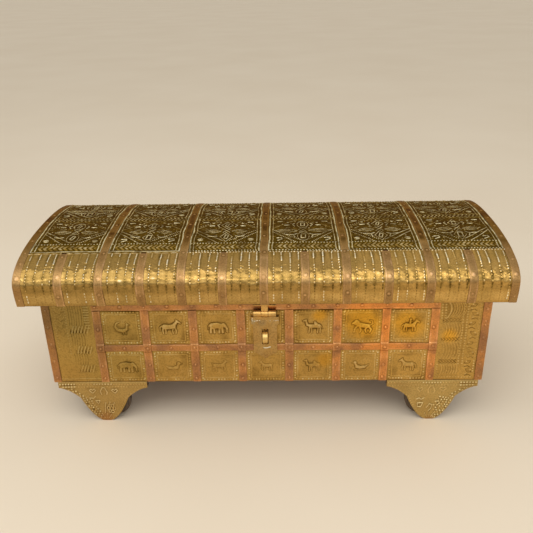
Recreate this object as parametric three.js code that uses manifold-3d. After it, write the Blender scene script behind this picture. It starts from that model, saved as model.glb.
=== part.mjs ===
// A brass- and copper-clad wooden dowry chest: a box on bracket feet with small wheels,
// and a domed lid that overhangs it and closes with a hasp over a staple.
// Millimetres, +Z up, the front faces -Y, +X is to the right of someone facing the front.
// The origin is on the floor under the middle of the lid.

import * as THREE from 'three';
import { mergeVertices } from 'three/addons/utils/BufferGeometryUtils.js';
import Module from 'manifold-3d';

// Overall sizes, measured over the copper straps.
const LID_LENGTH = 430;
const LID_DEPTH = 188;
const LID_HEIGHT = 44;
const END_OVERHANG = 18;
const LONG_OVERHANG = 8;
const BODY_HEIGHT = 82;
const FOOT_HEIGHT = 43.5;
const LID_GAP = 0.3;

// The lid's cross-section: low sides that lean out, then a flattened dome.
const LID_SIDE_HEIGHT = 18;
const LID_TUCK = 2;
const DOME_POWER = 2.3;
const SIDE_STEPS = 4;
const DOME_STEPS = 11;
const SHORT_STRAP_STEPS = 6;

// Thicknesses of the layers, and the fit between two of them.
const BODY_BOARD = 9;
const BOTTOM_BOARD = 8;
const LID_BOARD = 8;
const SHEET = 0.6;
const STRAP = 0.8;
const SEAM = 0.1;

// Copper straps.
const STRAP_WIDTH = 7.5;
const CROSS_STRAP_WIDTH = 6.8;
const FRONT_STRAPS = 8;
const END_PANEL = 48.25;
const LID_STRAPS = 13;
const CROSS_STRAP_DROP = 1;
const SIDE_STRAPS = 3;

// Stamped squares between the front straps.
const SQUARE_MARGIN = 1.6;
const SQUARE_RIM = 1.4;
const SQUARE_RISE = 0.6;

// The frame that closes the underside of the lid's overhang.
const FRAME_THICKNESS = 8;
const FRAME_REACH = 3.4;

// Bracket feet, their axles and wheels.
const FOOT_WIDTH = 83;
const FOOT_INSET = 3.5;
const FOOT_BOARD = 6;
const FOOT_END_HEIGHT = 6.5;
const FOOT_FLAT = 6;
const FOOT_WAIST_WIDTH = 44.5;
const FOOT_WAIST_HEIGHT = 25.7;
const WHEEL_RADIUS = 17.5;
const WHEEL_WIDTH = 8;
const WHEEL_LIFT = 0.3;
const WHEEL_HUB_RADIUS = 6;
const WHEEL_RIM = 3.8;
const WHEEL_RECESS = 1.6;
const WHEEL_BEVEL = 1.2;
const AXLE_INSET = 4.5;
const AXLE_RADIUS = 2.5;
const AXLE_HOLE_RADIUS = 2.8;
const AXLE_HOLE_DEPTH = 3.5;
const WHEEL_BORE_RADIUS = 2.6;
const WHEEL_SIDE_PLAY = 0.5;
const COLLAR_RADIUS = 4.6;
const COLLAR_WIDTH = 2;
const ROUND_STEPS = 24;

// Hinges under the rear overhang.
const HINGE_MARGIN = 2.5;
const HINGE_LEAF_HEIGHT = 22;
const HINGE_BARREL_RADIUS = 2.2;
const HINGE_PIN_RADIUS = 0.9;
const HINGE_DROP = 2.9;
const LEAF = 1.2;
const TAB = 0.8;
const KNUCKLE_GAP = 0.2;
const PIN_PLAY = 0.1;
const PIN_STEPS = 16;

// The hasp and its staple.
const HASP_BARREL_RADIUS = 3;
const HASP_PIN_RADIUS = 1.1;
const HASP_DROP = 9.5;
const HASP_BARREL_LENGTH = 20;
const HASP_KNUCKLE_LENGTH = 5.8;
const HASP_STANDOFF = 0.2;
const HASP_SHOULDER_WIDTH = 24.4;
const HASP_WIDTH = 21.2;
const HASP_TOP_DROP = 4.8;
const HASP_SHOULDER_HEIGHT = 8;
const HASP_BELOW_SLOT = 7.6;
const HASP_POINT = 7.4;
const SLOT_WIDTH = 5.7;
const SLOT_HEIGHT = 15.4;
const STAPLE_WIDTH = 4.3;
const STAPLE_HEIGHT = 11.2;
const STAPLE_REACH = 8.6;
const STAPLE_LIFT = 3;

// Heights and faces that follow from the sizes above.
const bodyBottom = FOOT_HEIGHT;
const bodyTop = FOOT_HEIGHT + BODY_HEIGHT;
const lidBottom = bodyTop + LID_GAP;
const lidSideTop = lidBottom + LID_SIDE_HEIGHT;
const domeRise = LID_HEIGHT - LID_SIDE_HEIGHT;
const topStrapBottom = bodyTop - STRAP_WIDTH;
const crossStrapZ = (bodyBottom + topStrapBottom) / 2 - CROSS_STRAP_DROP;

const strapFaceY = LID_DEPTH / 2 - LONG_OVERHANG;
const sheetFaceY = strapFaceY - STRAP - SEAM;
const woodFaceY = sheetFaceY - SHEET - SEAM;
const insideY = woodFaceY - BODY_BOARD;
const strapFaceX = LID_LENGTH / 2 - END_OVERHANG;
const sheetFaceX = strapFaceX - STRAP - SEAM;
const woodFaceX = sheetFaceX - SHEET - SEAM;
const insideX = woodFaceX - BODY_BOARD;

const frontPitch = (2 * (strapFaceX - END_PANEL)) / (FRONT_STRAPS - 1);
const sidePitch = (2 * strapFaceY) / (SIDE_STRAPS + 1);
const footCentre = strapFaceX - FOOT_INSET - FOOT_WIDTH / 2;
const axleCentre = footCentre - AXLE_INSET;
const hingeCentre = 2 * frontPitch;
const hingeLength = frontPitch - STRAP_WIDTH - 2 * HINGE_MARGIN;

// Depths of the lid's layers below its outer outline.
const lidSheetDepth = STRAP + SEAM;
const lidWoodDepth = lidSheetDepth + SHEET + SEAM;
const lidInsideDepth = lidWoodDepth + LID_BOARD;
const lidEndFaceX = LID_LENGTH / 2;

const colours = {
  brass: 0xa8863c,
  lidBrass: 0x8d7a3c,
  copper: 0xb06a3e,
  wood: 0x7a5230,
  darkWood: 0x4a3626,
  iron: 0x3c3835,
};

const materials = {
  brass: new THREE.MeshStandardMaterial({ color: colours.brass, metalness: 0.9, roughness: 0.35 }),
  lidBrass: new THREE.MeshStandardMaterial({ color: colours.lidBrass, metalness: 0.9, roughness: 0.35 }),
  copper: new THREE.MeshStandardMaterial({ color: colours.copper, metalness: 0.85, roughness: 0.4 }),
  wood: new THREE.MeshStandardMaterial({ color: colours.wood, metalness: 0, roughness: 0.75 }),
  darkWood: new THREE.MeshStandardMaterial({ color: colours.darkWood, metalness: 0, roughness: 0.7 }),
  iron: new THREE.MeshStandardMaterial({ color: colours.iron, metalness: 0.8, roughness: 0.55 }),
};

const wasm = await Module();
wasm.setup();

const chest = new THREE.Group();

function addPiece(name, geometry, material) {
  const mesh = new THREE.Mesh(geometry, material);
  mesh.name = name;
  chest.add(mesh);
}

// A closed geometry as a solid that can be joined and cut.
function toSolid(geometry) {
  const bare = geometry.clone();
  bare.deleteAttribute('normal');
  bare.deleteAttribute('uv');
  const merged = mergeVertices(bare);
  return new wasm.Manifold(new wasm.Mesh({
    numProp: 3,
    vertProperties: new Float32Array(merged.attributes.position.array),
    triVerts: new Uint32Array(merged.index.array),
  }));
}

function toGeometry(solid) {
  const mesh = solid.getMesh();
  const geometry = new THREE.BufferGeometry();
  geometry.setAttribute('position', new THREE.BufferAttribute(mesh.vertProperties, 3));
  geometry.setIndex(new THREE.BufferAttribute(mesh.triVerts, 1));
  geometry.computeVertexNormals();
  return geometry;
}

function join(first, ...others) {
  return toGeometry(others.reduce((solid, other) => solid.add(toSolid(other)), toSolid(first)));
}

function cut(first, ...others) {
  return toGeometry(others.reduce((solid, other) => solid.subtract(toSolid(other)), toSolid(first)));
}

// A block between two limits on each axis.
function block([x0, x1], [y0, y1], [z0, z1]) {
  const geometry = new THREE.BoxGeometry(x1 - x0, y1 - y0, z1 - z0);
  return geometry.translate((x0 + x1) / 2, (y0 + y1) / 2, (z0 + z1) / 2);
}

// A Y-Z outline drawn out along X.
function extrudeAlongX(shape, [x0, x1], curveSegments = 12) {
  const geometry = new THREE.ExtrudeGeometry(shape, { depth: x1 - x0, bevelEnabled: false, curveSegments });
  return geometry.applyMatrix4(new THREE.Matrix4().set(0, 0, 1, x0, 1, 0, 0, 0, 0, 1, 0, 0, 0, 0, 0, 1));
}

// An X-Z outline drawn out along Y.
function extrudeAlongY(shape, [y0, y1], curveSegments = 12) {
  const geometry = new THREE.ExtrudeGeometry(shape, { depth: y1 - y0, bevelEnabled: false, curveSegments });
  return geometry.applyMatrix4(new THREE.Matrix4().set(1, 0, 0, 0, 0, 0, -1, y1, 0, 1, 0, 0, 0, 0, 0, 1));
}

// An X-Y outline drawn out along Z.
function extrudeAlongZ(shape, [z0, z1]) {
  return new THREE.ExtrudeGeometry(shape, { depth: z1 - z0, bevelEnabled: false }).translate(0, 0, z0);
}

// A round bar along X.
function barAlongX(radius, [x0, x1], y, z, steps = PIN_STEPS) {
  const geometry = new THREE.CylinderGeometry(radius, radius, x1 - x0, steps);
  return geometry.rotateZ(Math.PI / 2).translate((x0 + x1) / 2, y, z);
}

// A round bar along Y.
function barAlongY(radius, [y0, y1], x, z) {
  const geometry = new THREE.CylinderGeometry(radius, radius, y1 - y0, ROUND_STEPS);
  return geometry.translate(x, (y0 + y1) / 2, z);
}

function rectangle(halfWidth, halfHeight) {
  return [
    new THREE.Vector2(-halfWidth, -halfHeight),
    new THREE.Vector2(halfWidth, -halfHeight),
    new THREE.Vector2(halfWidth, halfHeight),
    new THREE.Vector2(-halfWidth, halfHeight),
  ];
}

// A flat rectangular ring.
function ringShape(outerX, outerY, innerX, innerY) {
  const shape = new THREE.Shape(rectangle(outerX, outerY));
  shape.holes.push(new THREE.Path(rectangle(innerX, innerY)));
  return shape;
}

// One point of the lid's outline, in Y and Z, on the front half. Steps count up from the lower edge
// to the crown. The sides lean out along a parabola, and the dome is a superellipse quarter.
function lidPoint(step, depth) {
  const half = LID_DEPTH / 2;
  if (step < SIDE_STEPS) {
    const s = step / SIDE_STEPS;
    return new THREE.Vector2(-(half - LID_TUCK * (1 - s) ** 2 - depth), lidBottom + s * LID_SIDE_HEIGHT);
  }
  const angle = ((step - SIDE_STEPS) / DOME_STEPS) * (Math.PI / 2);
  const cosine = Math.max(Math.cos(angle), 0);
  const sine = Math.sin(angle);
  const exponent = 2 / DOME_POWER;
  const normal = new THREE.Vector2(
    cosine ** (exponent * (DOME_POWER - 1)) / half,
    sine ** (exponent * (DOME_POWER - 1)) / domeRise,
  ).normalize();
  const y = half * cosine ** exponent - depth * normal.x;
  const z = lidSideTop + domeRise * sine ** exponent - depth * normal.y;
  return new THREE.Vector2(step === SIDE_STEPS + DOME_STEPS ? 0 : -y, z);
}

const crownStep = SIDE_STEPS + DOME_STEPS;

// The lid's whole outline at a depth below its surface, from the front lower edge to the rear one.
function lidOutline(depth) {
  const front = Array.from({ length: crownStep + 1 }, (_, step) => lidPoint(step, depth));
  const rear = front.slice(0, crownStep).reverse().map((point) => new THREE.Vector2(-point.x, point.y));
  return [...front, ...rear];
}

// A layer of the lid between two depths, over the whole dome or up its front only.
function lidLayer(outerDepth, innerDepth, lastStep = 2 * crownStep) {
  const outer = lidOutline(outerDepth).slice(0, lastStep + 1);
  const inner = lidOutline(innerDepth).slice(0, lastStep + 1).reverse();
  return new THREE.Shape([...outer, ...inner]);
}

function addBodyBoards() {
  const z = [bodyBottom, bodyTop];
  const between = insideY - SEAM;
  addPiece('front_board', block([-woodFaceX, woodFaceX], [-woodFaceY, -insideY], z), materials.wood);
  addPiece('back_board', block([-woodFaceX, woodFaceX], [insideY, woodFaceY], z), materials.wood);
  addPiece('left_board', block([-woodFaceX, -insideX], [-between, between], z), materials.wood);
  addPiece('right_board', block([insideX, woodFaceX], [-between, between], z), materials.wood);
  const floorZ = [bodyBottom, bodyBottom + BOTTOM_BOARD];
  const floor = block([SEAM - insideX, insideX - SEAM], [-between, between], floorZ);
  addPiece('bottom_board', floor, materials.wood);
}

// The rim of one stamped square, standing out of the front sheet.
function squareRim(x, [z0, z1]) {
  const halfWidth = (frontPitch - STRAP_WIDTH) / 2 - SQUARE_MARGIN;
  const halfHeight = (z1 - z0) / 2 - SQUARE_MARGIN;
  const shape = ringShape(halfWidth, halfHeight, halfWidth - SQUARE_RIM, halfHeight - SQUARE_RIM);
  const rim = extrudeAlongY(shape, [-sheetFaceY - SQUARE_RISE, -sheetFaceY + SHEET / 2]);
  return rim.translate(x, 0, (z0 + z1) / 2);
}

// One brass sheet wraps all four sides, stamped with two rows of squares on the front.
function addBodySheet() {
  const ring = ringShape(sheetFaceX, sheetFaceY, woodFaceX + SEAM, sheetFaceY - SHEET);
  const rows = [
    [bodyBottom, crossStrapZ - CROSS_STRAP_WIDTH / 2],
    [crossStrapZ + CROSS_STRAP_WIDTH / 2, topStrapBottom],
  ];
  const rims = [];
  for (let column = 0; column < FRONT_STRAPS - 1; column += 1) {
    const x = (column - (FRONT_STRAPS - 2) / 2) * frontPitch;
    rows.forEach((row) => rims.push(squareRim(x, row)));
  }
  addPiece('body_sheet', join(extrudeAlongZ(ring, [bodyBottom, bodyTop]), ...rims), materials.brass);
}

// A vertical front strap, bent outwards where it passes over the cross strap.
function joggledStrap(x) {
  const back = STRAP - strapFaceY;
  const front = -strapFaceY;
  const step = STRAP + SEAM;
  const low = crossStrapZ - CROSS_STRAP_WIDTH / 2 - SEAM;
  const high = crossStrapZ + CROSS_STRAP_WIDTH / 2 + SEAM;
  const top = topStrapBottom - SEAM;
  const outline = [
    [back, bodyBottom], [back, low], [back - step, low], [back - step, high], [back, high], [back, top],
    [front, top], [front, high + step], [front - step, high + STRAP], [front - step, low - STRAP],
    [front, low - step], [front, bodyBottom],
  ].map(([y, z]) => new THREE.Vector2(y, z));
  return extrudeAlongX(new THREE.Shape(outline), [x - STRAP_WIDTH / 2, x + STRAP_WIDTH / 2]);
}

function addFrontStraps() {
  const reach = ((FRONT_STRAPS - 1) / 2) * frontPitch + STRAP_WIDTH / 2;
  const y = [-strapFaceY, STRAP - strapFaceY];
  addPiece('front_top_strap', block([-reach, reach], y, [topStrapBottom, bodyTop]), materials.copper);
  const crossZ = [crossStrapZ - CROSS_STRAP_WIDTH / 2, crossStrapZ + CROSS_STRAP_WIDTH / 2];
  addPiece('front_cross_strap', block([-reach, reach], y, crossZ), materials.copper);
  for (let index = 0; index < FRONT_STRAPS; index += 1) {
    const x = (index - (FRONT_STRAPS - 1) / 2) * frontPitch;
    addPiece(`front_strap_${index + 1}`, joggledStrap(x), materials.copper);
  }
}

// A strap folded round an upright edge, turned by quarters from the front left one.
function cornerStrap(sideX, sideY, quarters) {
  const corner = new THREE.Shape([
    [0, 0], [STRAP_WIDTH, 0], [STRAP_WIDTH, STRAP], [STRAP, STRAP], [STRAP, STRAP_WIDTH], [0, STRAP_WIDTH],
  ].map(([x, y]) => new THREE.Vector2(x, y)));
  const strap = extrudeAlongZ(corner, [bodyBottom, bodyTop]).rotateZ(quarters * (Math.PI / 2));
  return strap.translate(sideX * strapFaceX, sideY * strapFaceY, 0);
}

function addCornerStraps() {
  addPiece('front_left_corner_strap', cornerStrap(-1, -1, 0), materials.copper);
  addPiece('front_right_corner_strap', cornerStrap(1, -1, 1), materials.copper);
}

// The strapwork of the three hidden sides: a cross strap joined to its uprights. The back's takes in
// the straps folded round the two rear edges.
function addHiddenStraps() {
  const z = [bodyBottom, bodyTop];
  const crossZ = [crossStrapZ - CROSS_STRAP_WIDTH / 2, crossStrapZ + CROSS_STRAP_WIDTH / 2];
  const sideReach = strapFaceY - STRAP_WIDTH - SEAM;
  const upright = (centre) => [centre - STRAP_WIDTH / 2, centre + STRAP_WIDTH / 2];
  const places = (count, pitch) => Array.from({ length: count }, (_, i) => (i - (count - 1) / 2) * pitch);
  [['left_straps', [-strapFaceX, STRAP - strapFaceX]], ['right_straps', [strapFaceX - STRAP, strapFaceX]]]
    .forEach(([name, x]) => {
      const uprights = places(SIDE_STRAPS, sidePitch).map((y) => block(x, upright(y), z));
      addPiece(name, join(block(x, [-sideReach, sideReach], crossZ), ...uprights), materials.copper);
    });
  const backReach = strapFaceX - STRAP_WIDTH / 2;
  const y = [strapFaceY - STRAP, strapFaceY];
  const uprights = places(FRONT_STRAPS, frontPitch).map((x) => block(upright(x), y, z));
  const corners = [cornerStrap(1, 1, 2), cornerStrap(-1, 1, 3)];
  const crossStrap = block([-backReach, backReach], y, crossZ);
  addPiece('back_straps', join(crossStrap, ...uprights, ...corners), materials.copper);
}

// How the ogee's control points lie along each stretch, across and up, as shares of it.
const LOWER_OGEE = [[0.42, 0.06], [0.81, 0.66]];
const UPPER_OGEE = [[0.24, 0.45], [0.67, 0.95]];

// The control points of one stretch of the ogee between two of its points.
function ogeeControls(shares, from, to) {
  const between = (axis, share) => from[axis] + share * (to[axis] - from[axis]);
  return shares.map(([across, up]) => [between(0, across), between(1, up)]);
}

// The bracket foot's outline: short upright ends, ogee sides and a flat tip, from the floor up.
function footShape() {
  const tip = [FOOT_FLAT / 2, 0];
  const waist = [FOOT_WAIST_WIDTH / 2, FOOT_WAIST_HEIGHT];
  const shoulder = [FOOT_WIDTH / 2, FOOT_HEIGHT - FOOT_END_HEIGHT];
  const lower = ogeeControls(LOWER_OGEE, tip, waist);
  const upper = ogeeControls(UPPER_OGEE, waist, shoulder);
  const mirrored = ([x, z]) => [-x, z];
  const shape = new THREE.Shape();
  shape.moveTo(-tip[0], 0);
  shape.lineTo(...tip);
  shape.bezierCurveTo(...lower[0], ...lower[1], ...waist);
  shape.bezierCurveTo(...upper[0], ...upper[1], ...shoulder);
  shape.lineTo(shoulder[0], FOOT_HEIGHT - SEAM);
  shape.lineTo(-shoulder[0], FOOT_HEIGHT - SEAM);
  shape.lineTo(...mirrored(shoulder));
  shape.bezierCurveTo(...mirrored(upper[1]), ...mirrored(upper[0]), ...mirrored(waist));
  shape.bezierCurveTo(...mirrored(lower[1]), ...mirrored(lower[0]), ...mirrored(tip));
  return shape;
}

const axleZ = WHEEL_RADIUS + WHEEL_LIFT;
const footFaceY = strapFaceY - SHEET - SEAM;
const footBackY = footFaceY - FOOT_BOARD;

function addFeet() {
  const shape = footShape();
  [['left', -1], ['right', 1]].forEach(([side, way]) => {
    const x = way * footCentre;
    [['front', -1], ['back', 1]].forEach(([end, sign]) => {
      const y = [sign * footFaceY, sign * footBackY].sort((a, b) => a - b);
      const hole = [sign * (footBackY - 1), sign * (footBackY + AXLE_HOLE_DEPTH)].sort((a, b) => a - b);
      const socket = barAlongY(AXLE_HOLE_RADIUS, hole, -way * AXLE_INSET, axleZ);
      const board = cut(extrudeAlongY(shape, y, 6), socket);
      addPiece(`${end}_${side}_foot`, board.translate(x, 0, 0), materials.wood);
    });
    const plate = extrudeAlongY(shape, [-strapFaceY, SHEET - strapFaceY], 6);
    addPiece(`front_${side}_foot_plate`, plate.translate(x, 0, 0), materials.brass);
  });
}

// The turned wheel: a hub, a sunk web and a bevelled rim, by radius and distance along the axle.
function wheelGeometry() {
  const half = WHEEL_WIDTH / 2;
  const web = half - WHEEL_RECESS;
  const rim = WHEEL_RADIUS - WHEEL_RIM;
  const side = [
    [WHEEL_BORE_RADIUS, half],
    [WHEEL_HUB_RADIUS, half],
    [WHEEL_HUB_RADIUS + WHEEL_BEVEL, web],
    [rim - WHEEL_BEVEL, web],
    [rim, half],
    [WHEEL_RADIUS - WHEEL_BEVEL, half],
    [WHEEL_RADIUS, half - WHEEL_BEVEL],
  ];
  const under = side.map(([radius, along]) => [radius, -along]);
  const profile = [...under, ...side.reverse(), under[0]];
  const points = profile.map(([radius, along]) => new THREE.Vector2(radius, along));
  return new THREE.LatheGeometry(points, ROUND_STEPS);
}

// Two iron rods run from front foot to back foot. Each has two collars that keep its wheels by the feet.
function addAxlesAndWheels() {
  const end = footBackY + AXLE_HOLE_DEPTH - WHEEL_SIDE_PLAY;
  const wheelY = footBackY - WHEEL_SIDE_PLAY - WHEEL_WIDTH / 2;
  const collarY = wheelY - WHEEL_WIDTH / 2 - WHEEL_SIDE_PLAY;
  [['left', -axleCentre], ['right', axleCentre]].forEach(([side, x]) => {
    const rod = barAlongY(AXLE_RADIUS, [-end, end], x, axleZ);
    const collars = [[-collarY, -collarY + COLLAR_WIDTH], [collarY - COLLAR_WIDTH, collarY]]
      .map((y) => barAlongY(COLLAR_RADIUS, y, x, axleZ));
    addPiece(`${side}_axle`, join(rod, ...collars), materials.iron);
    addPiece(`wheel_front_${side}`, wheelGeometry().translate(x, -wheelY, axleZ), materials.darkWood);
    addPiece(`wheel_back_${side}`, wheelGeometry().translate(x, wheelY, axleZ), materials.darkWood);
  });
}

// The lid's boards: a bent shell on two end boards, and a frame that closes the overhang below.
function addLidBoards() {
  const endFace = lidEndFaceX - lidWoodDepth;
  const shell = extrudeAlongX(lidLayer(lidWoodDepth, lidInsideDepth), [-endFace, endFace]);
  addPiece('lid_shell', shell, materials.wood);
  const endShape = new THREE.Shape(lidOutline(lidInsideDepth + SEAM));
  const inner = endFace - BODY_BOARD;
  addPiece('lid_left_end', extrudeAlongX(endShape, [-endFace, -inner]), materials.wood);
  addPiece('lid_right_end', extrudeAlongX(endShape, [inner, endFace]), materials.wood);
  const frameHalfDepth = LID_DEPTH / 2 - LID_TUCK - lidInsideDepth - SEAM;
  const frame = ringShape(inner - SEAM, frameHalfDepth, insideX - FRAME_REACH, insideY - FRAME_REACH);
  addPiece('lid_frame', extrudeAlongZ(frame, [lidBottom, lidBottom + FRAME_THICKNESS]), materials.wood);
}

function addLidSheets() {
  const endFace = lidEndFaceX - lidWoodDepth;
  const cover = extrudeAlongX(lidLayer(lidSheetDepth, lidSheetDepth + SHEET), [-endFace, endFace]);
  addPiece('lid_sheet', cover, materials.lidBrass);
  const endShape = new THREE.Shape(lidOutline(lidSheetDepth));
  const outer = lidEndFaceX - lidSheetDepth;
  addPiece('lid_left_end_sheet', extrudeAlongX(endShape, [-outer, SHEET - outer]), materials.brass);
  addPiece('lid_right_end_sheet', extrudeAlongX(endShape, [outer - SHEET, outer]), materials.brass);
}

// Thirteen straps cross the lid's front. Every second one goes on over the dome to the back, and the
// outermost two are folded over the ends.
function addLidStraps() {
  const pitch = (LID_LENGTH - STRAP_WIDTH) / (LID_STRAPS - 1);
  for (let index = 0; index < LID_STRAPS; index += 1) {
    const x = (index - (LID_STRAPS - 1) / 2) * pitch;
    const span = [x - STRAP_WIDTH / 2, x + STRAP_WIDTH / 2];
    const isLong = index % 2 === 0;
    const lastStep = isLong ? 2 * crownStep : SIDE_STEPS + SHORT_STRAP_STEPS;
    let strap = extrudeAlongX(lidLayer(0, STRAP, lastStep), span);
    if (index === 0) {
      strap = join(strap, extrudeAlongX(lidLayer(0, STRAP_WIDTH), [-lidEndFaceX, STRAP - lidEndFaceX]));
    }
    if (index === LID_STRAPS - 1) {
      strap = join(strap, extrudeAlongX(lidLayer(0, STRAP_WIDTH), [lidEndFaceX - STRAP, lidEndFaceX]));
    }
    addPiece(`lid_${isLong ? 'long' : 'short'}_strap_${index + 1}`, strap, materials.copper);
  }
}

const hingeY = sheetFaceY + SEAM + HINGE_BARREL_RADIUS;
const hingeZ = bodyTop - HINGE_DROP;

// The three parts of a knuckle joint along its barrel: the middle one turns between the outer two.
function knuckleSpans(length, middle) {
  const half = length / 2;
  return {
    middle: [-middle / 2, middle / 2],
    outer: [[-half, -middle / 2 - KNUCKLE_GAP], [middle / 2 + KNUCKLE_GAP, half]],
  };
}

// A leaf fixed on the back of the body, with two knuckles and the pin.
function bodyLeaf() {
  const spans = knuckleSpans(hingeLength, hingeLength / 3);
  const half = hingeLength / 2;
  const y = [sheetFaceY + SEAM, sheetFaceY + SEAM + LEAF];
  const plate = block([-half, half], y, [hingeZ - HINGE_LEAF_HEIGHT, hingeZ]);
  const notchHalf = hingeLength / 6 + KNUCKLE_GAP;
  const notchZ = [hingeZ - HINGE_BARREL_RADIUS - 2 * KNUCKLE_GAP, hingeZ + 1];
  const notched = cut(plate, block([-notchHalf, notchHalf], [y[0] - 1, y[1] + 1], notchZ));
  const barrels = spans.outer.map((span) => barAlongX(HINGE_BARREL_RADIUS, span, hingeY, hingeZ));
  return join(notched, ...barrels, barAlongX(HINGE_PIN_RADIUS, [-half, half], hingeY, hingeZ));
}

// A leaf under the lid's overhang, with a middle knuckle that turns on a pin.
function lidLeaf(tabLength, tabY, axisY, axisZ, barrelRadius, pinRadius, middle) {
  const tabZ = [lidBottom - SEAM - TAB, lidBottom - SEAM];
  const tab = block([-tabLength / 2, tabLength / 2], tabY, tabZ);
  const web = block([-middle / 2, middle / 2], [axisY - LEAF / 2, axisY + LEAF / 2], [axisZ, tabZ[1]]);
  const barrel = barAlongX(barrelRadius, [-middle / 2, middle / 2], axisY, axisZ);
  const bore = barAlongX(pinRadius + PIN_PLAY, [-middle, middle], axisY, axisZ);
  return cut(join(tab, web, barrel), bore);
}

function addHinges() {
  const tabY = [strapFaceY + 2 * SEAM, LID_DEPTH / 2 - LID_TUCK - 1.5];
  [['left', -hingeCentre], ['right', hingeCentre]].forEach(([side, x]) => {
    addPiece(`hinge_${side}_body_leaf`, bodyLeaf().translate(x, 0, 0), materials.brass);
    const leaf = lidLeaf(
      hingeLength, tabY, hingeY, hingeZ, HINGE_BARREL_RADIUS, HINGE_PIN_RADIUS, hingeLength / 3,
    );
    addPiece(`hinge_${side}_lid_leaf`, leaf.translate(x, 0, 0), materials.brass);
  });
}

const haspBackY = -strapFaceY - HASP_STANDOFF;
const haspY = haspBackY - HASP_BARREL_RADIUS;
const haspZ = lidBottom - HASP_DROP;
const stapleZ = crossStrapZ + CROSS_STRAP_WIDTH / 2 + STAPLE_LIFT + STAPLE_HEIGHT / 2;

// The hasp's pointed plate, slotted for the staple, hanging from two knuckles.
function haspPlate() {
  const shoulder = HASP_SHOULDER_WIDTH / 2;
  const half = HASP_WIDTH / 2;
  const top = haspZ - HASP_TOP_DROP;
  const neck = top - HASP_SHOULDER_HEIGHT;
  const sideEnd = stapleZ - SLOT_HEIGHT / 2 - HASP_BELOW_SLOT;
  const right = [[shoulder, top], [shoulder, neck + shoulder - half], [half, neck], [half, sideEnd]];
  const left = right.map(([x, z]) => [-x, z]).reverse();
  const points = [...right, [0, sideEnd - HASP_POINT], ...left];
  const outline = new THREE.Shape(points.map(([x, z]) => new THREE.Vector2(x, z)));
  const slot = rectangle(SLOT_WIDTH / 2, SLOT_HEIGHT / 2).map((point) => point.setY(point.y + stapleZ));
  outline.holes.push(new THREE.Path(slot));
  const y = [haspBackY - LEAF, haspBackY];
  const plate = extrudeAlongY(outline, y);
  const spans = knuckleSpans(HASP_BARREL_LENGTH, HASP_KNUCKLE_LENGTH).outer;
  const arms = spans.map((span) => block(span, y, [top - LEAF, haspZ]));
  const barrels = spans.map((span) => barAlongX(HASP_BARREL_RADIUS, span, haspY, haspZ));
  const bore = barAlongX(HASP_PIN_RADIUS + PIN_PLAY, [-shoulder, shoulder], haspY, haspZ);
  return cut(join(plate, ...arms, ...barrels), bore);
}

// The leaf that carries the hasp: a tab under the lid's edge, one knuckle and the pin.
function haspLeaf() {
  const tabY = [LID_TUCK - LID_DEPTH / 2 + TAB, -strapFaceY - 0.6];
  const leaf = lidLeaf(
    HASP_BARREL_LENGTH, tabY, haspY, haspZ, HASP_BARREL_RADIUS, HASP_PIN_RADIUS, HASP_KNUCKLE_LENGTH,
  );
  const half = HASP_BARREL_LENGTH / 2;
  return join(leaf, barAlongX(HASP_PIN_RADIUS + PIN_PLAY + SEAM, [-1, 1], haspY, haspZ),
    barAlongX(HASP_PIN_RADIUS, [-half, half], haspY, haspZ));
}

// The staple: a flat strip bent into an arch, legs above each other, that comes through the slot.
function stapleGeometry() {
  const half = STAPLE_HEIGHT / 2;
  const centreY = -(sheetFaceY + SEAM + STAPLE_REACH - half);
  const root = -sheetFaceY - SEAM;
  const z = stapleZ;
  const inner = half - LEAF;
  const shape = new THREE.Shape();
  shape.moveTo(root, z - half);
  shape.lineTo(root, z - inner);
  shape.lineTo(centreY, z - inner);
  shape.absarc(centreY, z, inner, -Math.PI / 2, -1.5 * Math.PI, true);
  shape.lineTo(root, z + inner);
  shape.lineTo(root, z + half);
  shape.lineTo(centreY, z + half);
  shape.absarc(centreY, z, half, Math.PI / 2, 1.5 * Math.PI, false);
  shape.lineTo(root, z - half);
  return extrudeAlongX(shape, [-STAPLE_WIDTH / 2, STAPLE_WIDTH / 2], 10);
}

function addHasp() {
  addPiece('staple', stapleGeometry(), materials.brass);
  addPiece('hasp_leaf', haspLeaf(), materials.brass);
  addPiece('hasp_plate', haspPlate(), materials.brass);
}

addBodyBoards();
addBodySheet();
addFrontStraps();
addCornerStraps();
addHiddenStraps();
addFeet();
addAxlesAndWheels();
addLidBoards();
addLidSheets();
addLidStraps();
addHinges();
addHasp();

export default chest;
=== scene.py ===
"""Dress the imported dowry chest: embossed brass sheets, copper straps, nails, fittings, wood and wheels.

Lengths inside the classes are millimetres in the chest's own frame, and become metres when a mesh is made.
A side is -1 for the left and 1 for the right.
"""

import logging
import math
from dataclasses import dataclass, field, replace
from enum import Enum, StrEnum
from functools import cache
from itertools import pairwise
from typing import Protocol, Sequence

import bpy
import numpy as np
from mathutils import Matrix, Vector


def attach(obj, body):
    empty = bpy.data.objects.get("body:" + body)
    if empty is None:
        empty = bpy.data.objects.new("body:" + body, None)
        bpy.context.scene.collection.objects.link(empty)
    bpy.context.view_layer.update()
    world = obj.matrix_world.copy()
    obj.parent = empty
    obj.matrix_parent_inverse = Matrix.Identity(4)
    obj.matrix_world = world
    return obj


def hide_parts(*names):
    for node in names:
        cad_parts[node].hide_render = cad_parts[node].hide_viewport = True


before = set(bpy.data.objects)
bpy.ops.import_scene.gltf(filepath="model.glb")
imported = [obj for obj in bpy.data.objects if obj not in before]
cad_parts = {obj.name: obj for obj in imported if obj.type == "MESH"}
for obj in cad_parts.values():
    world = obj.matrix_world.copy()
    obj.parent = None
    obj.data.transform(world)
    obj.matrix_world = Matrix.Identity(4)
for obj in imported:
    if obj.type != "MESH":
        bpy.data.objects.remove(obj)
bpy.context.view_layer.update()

MM = 0.001
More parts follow.
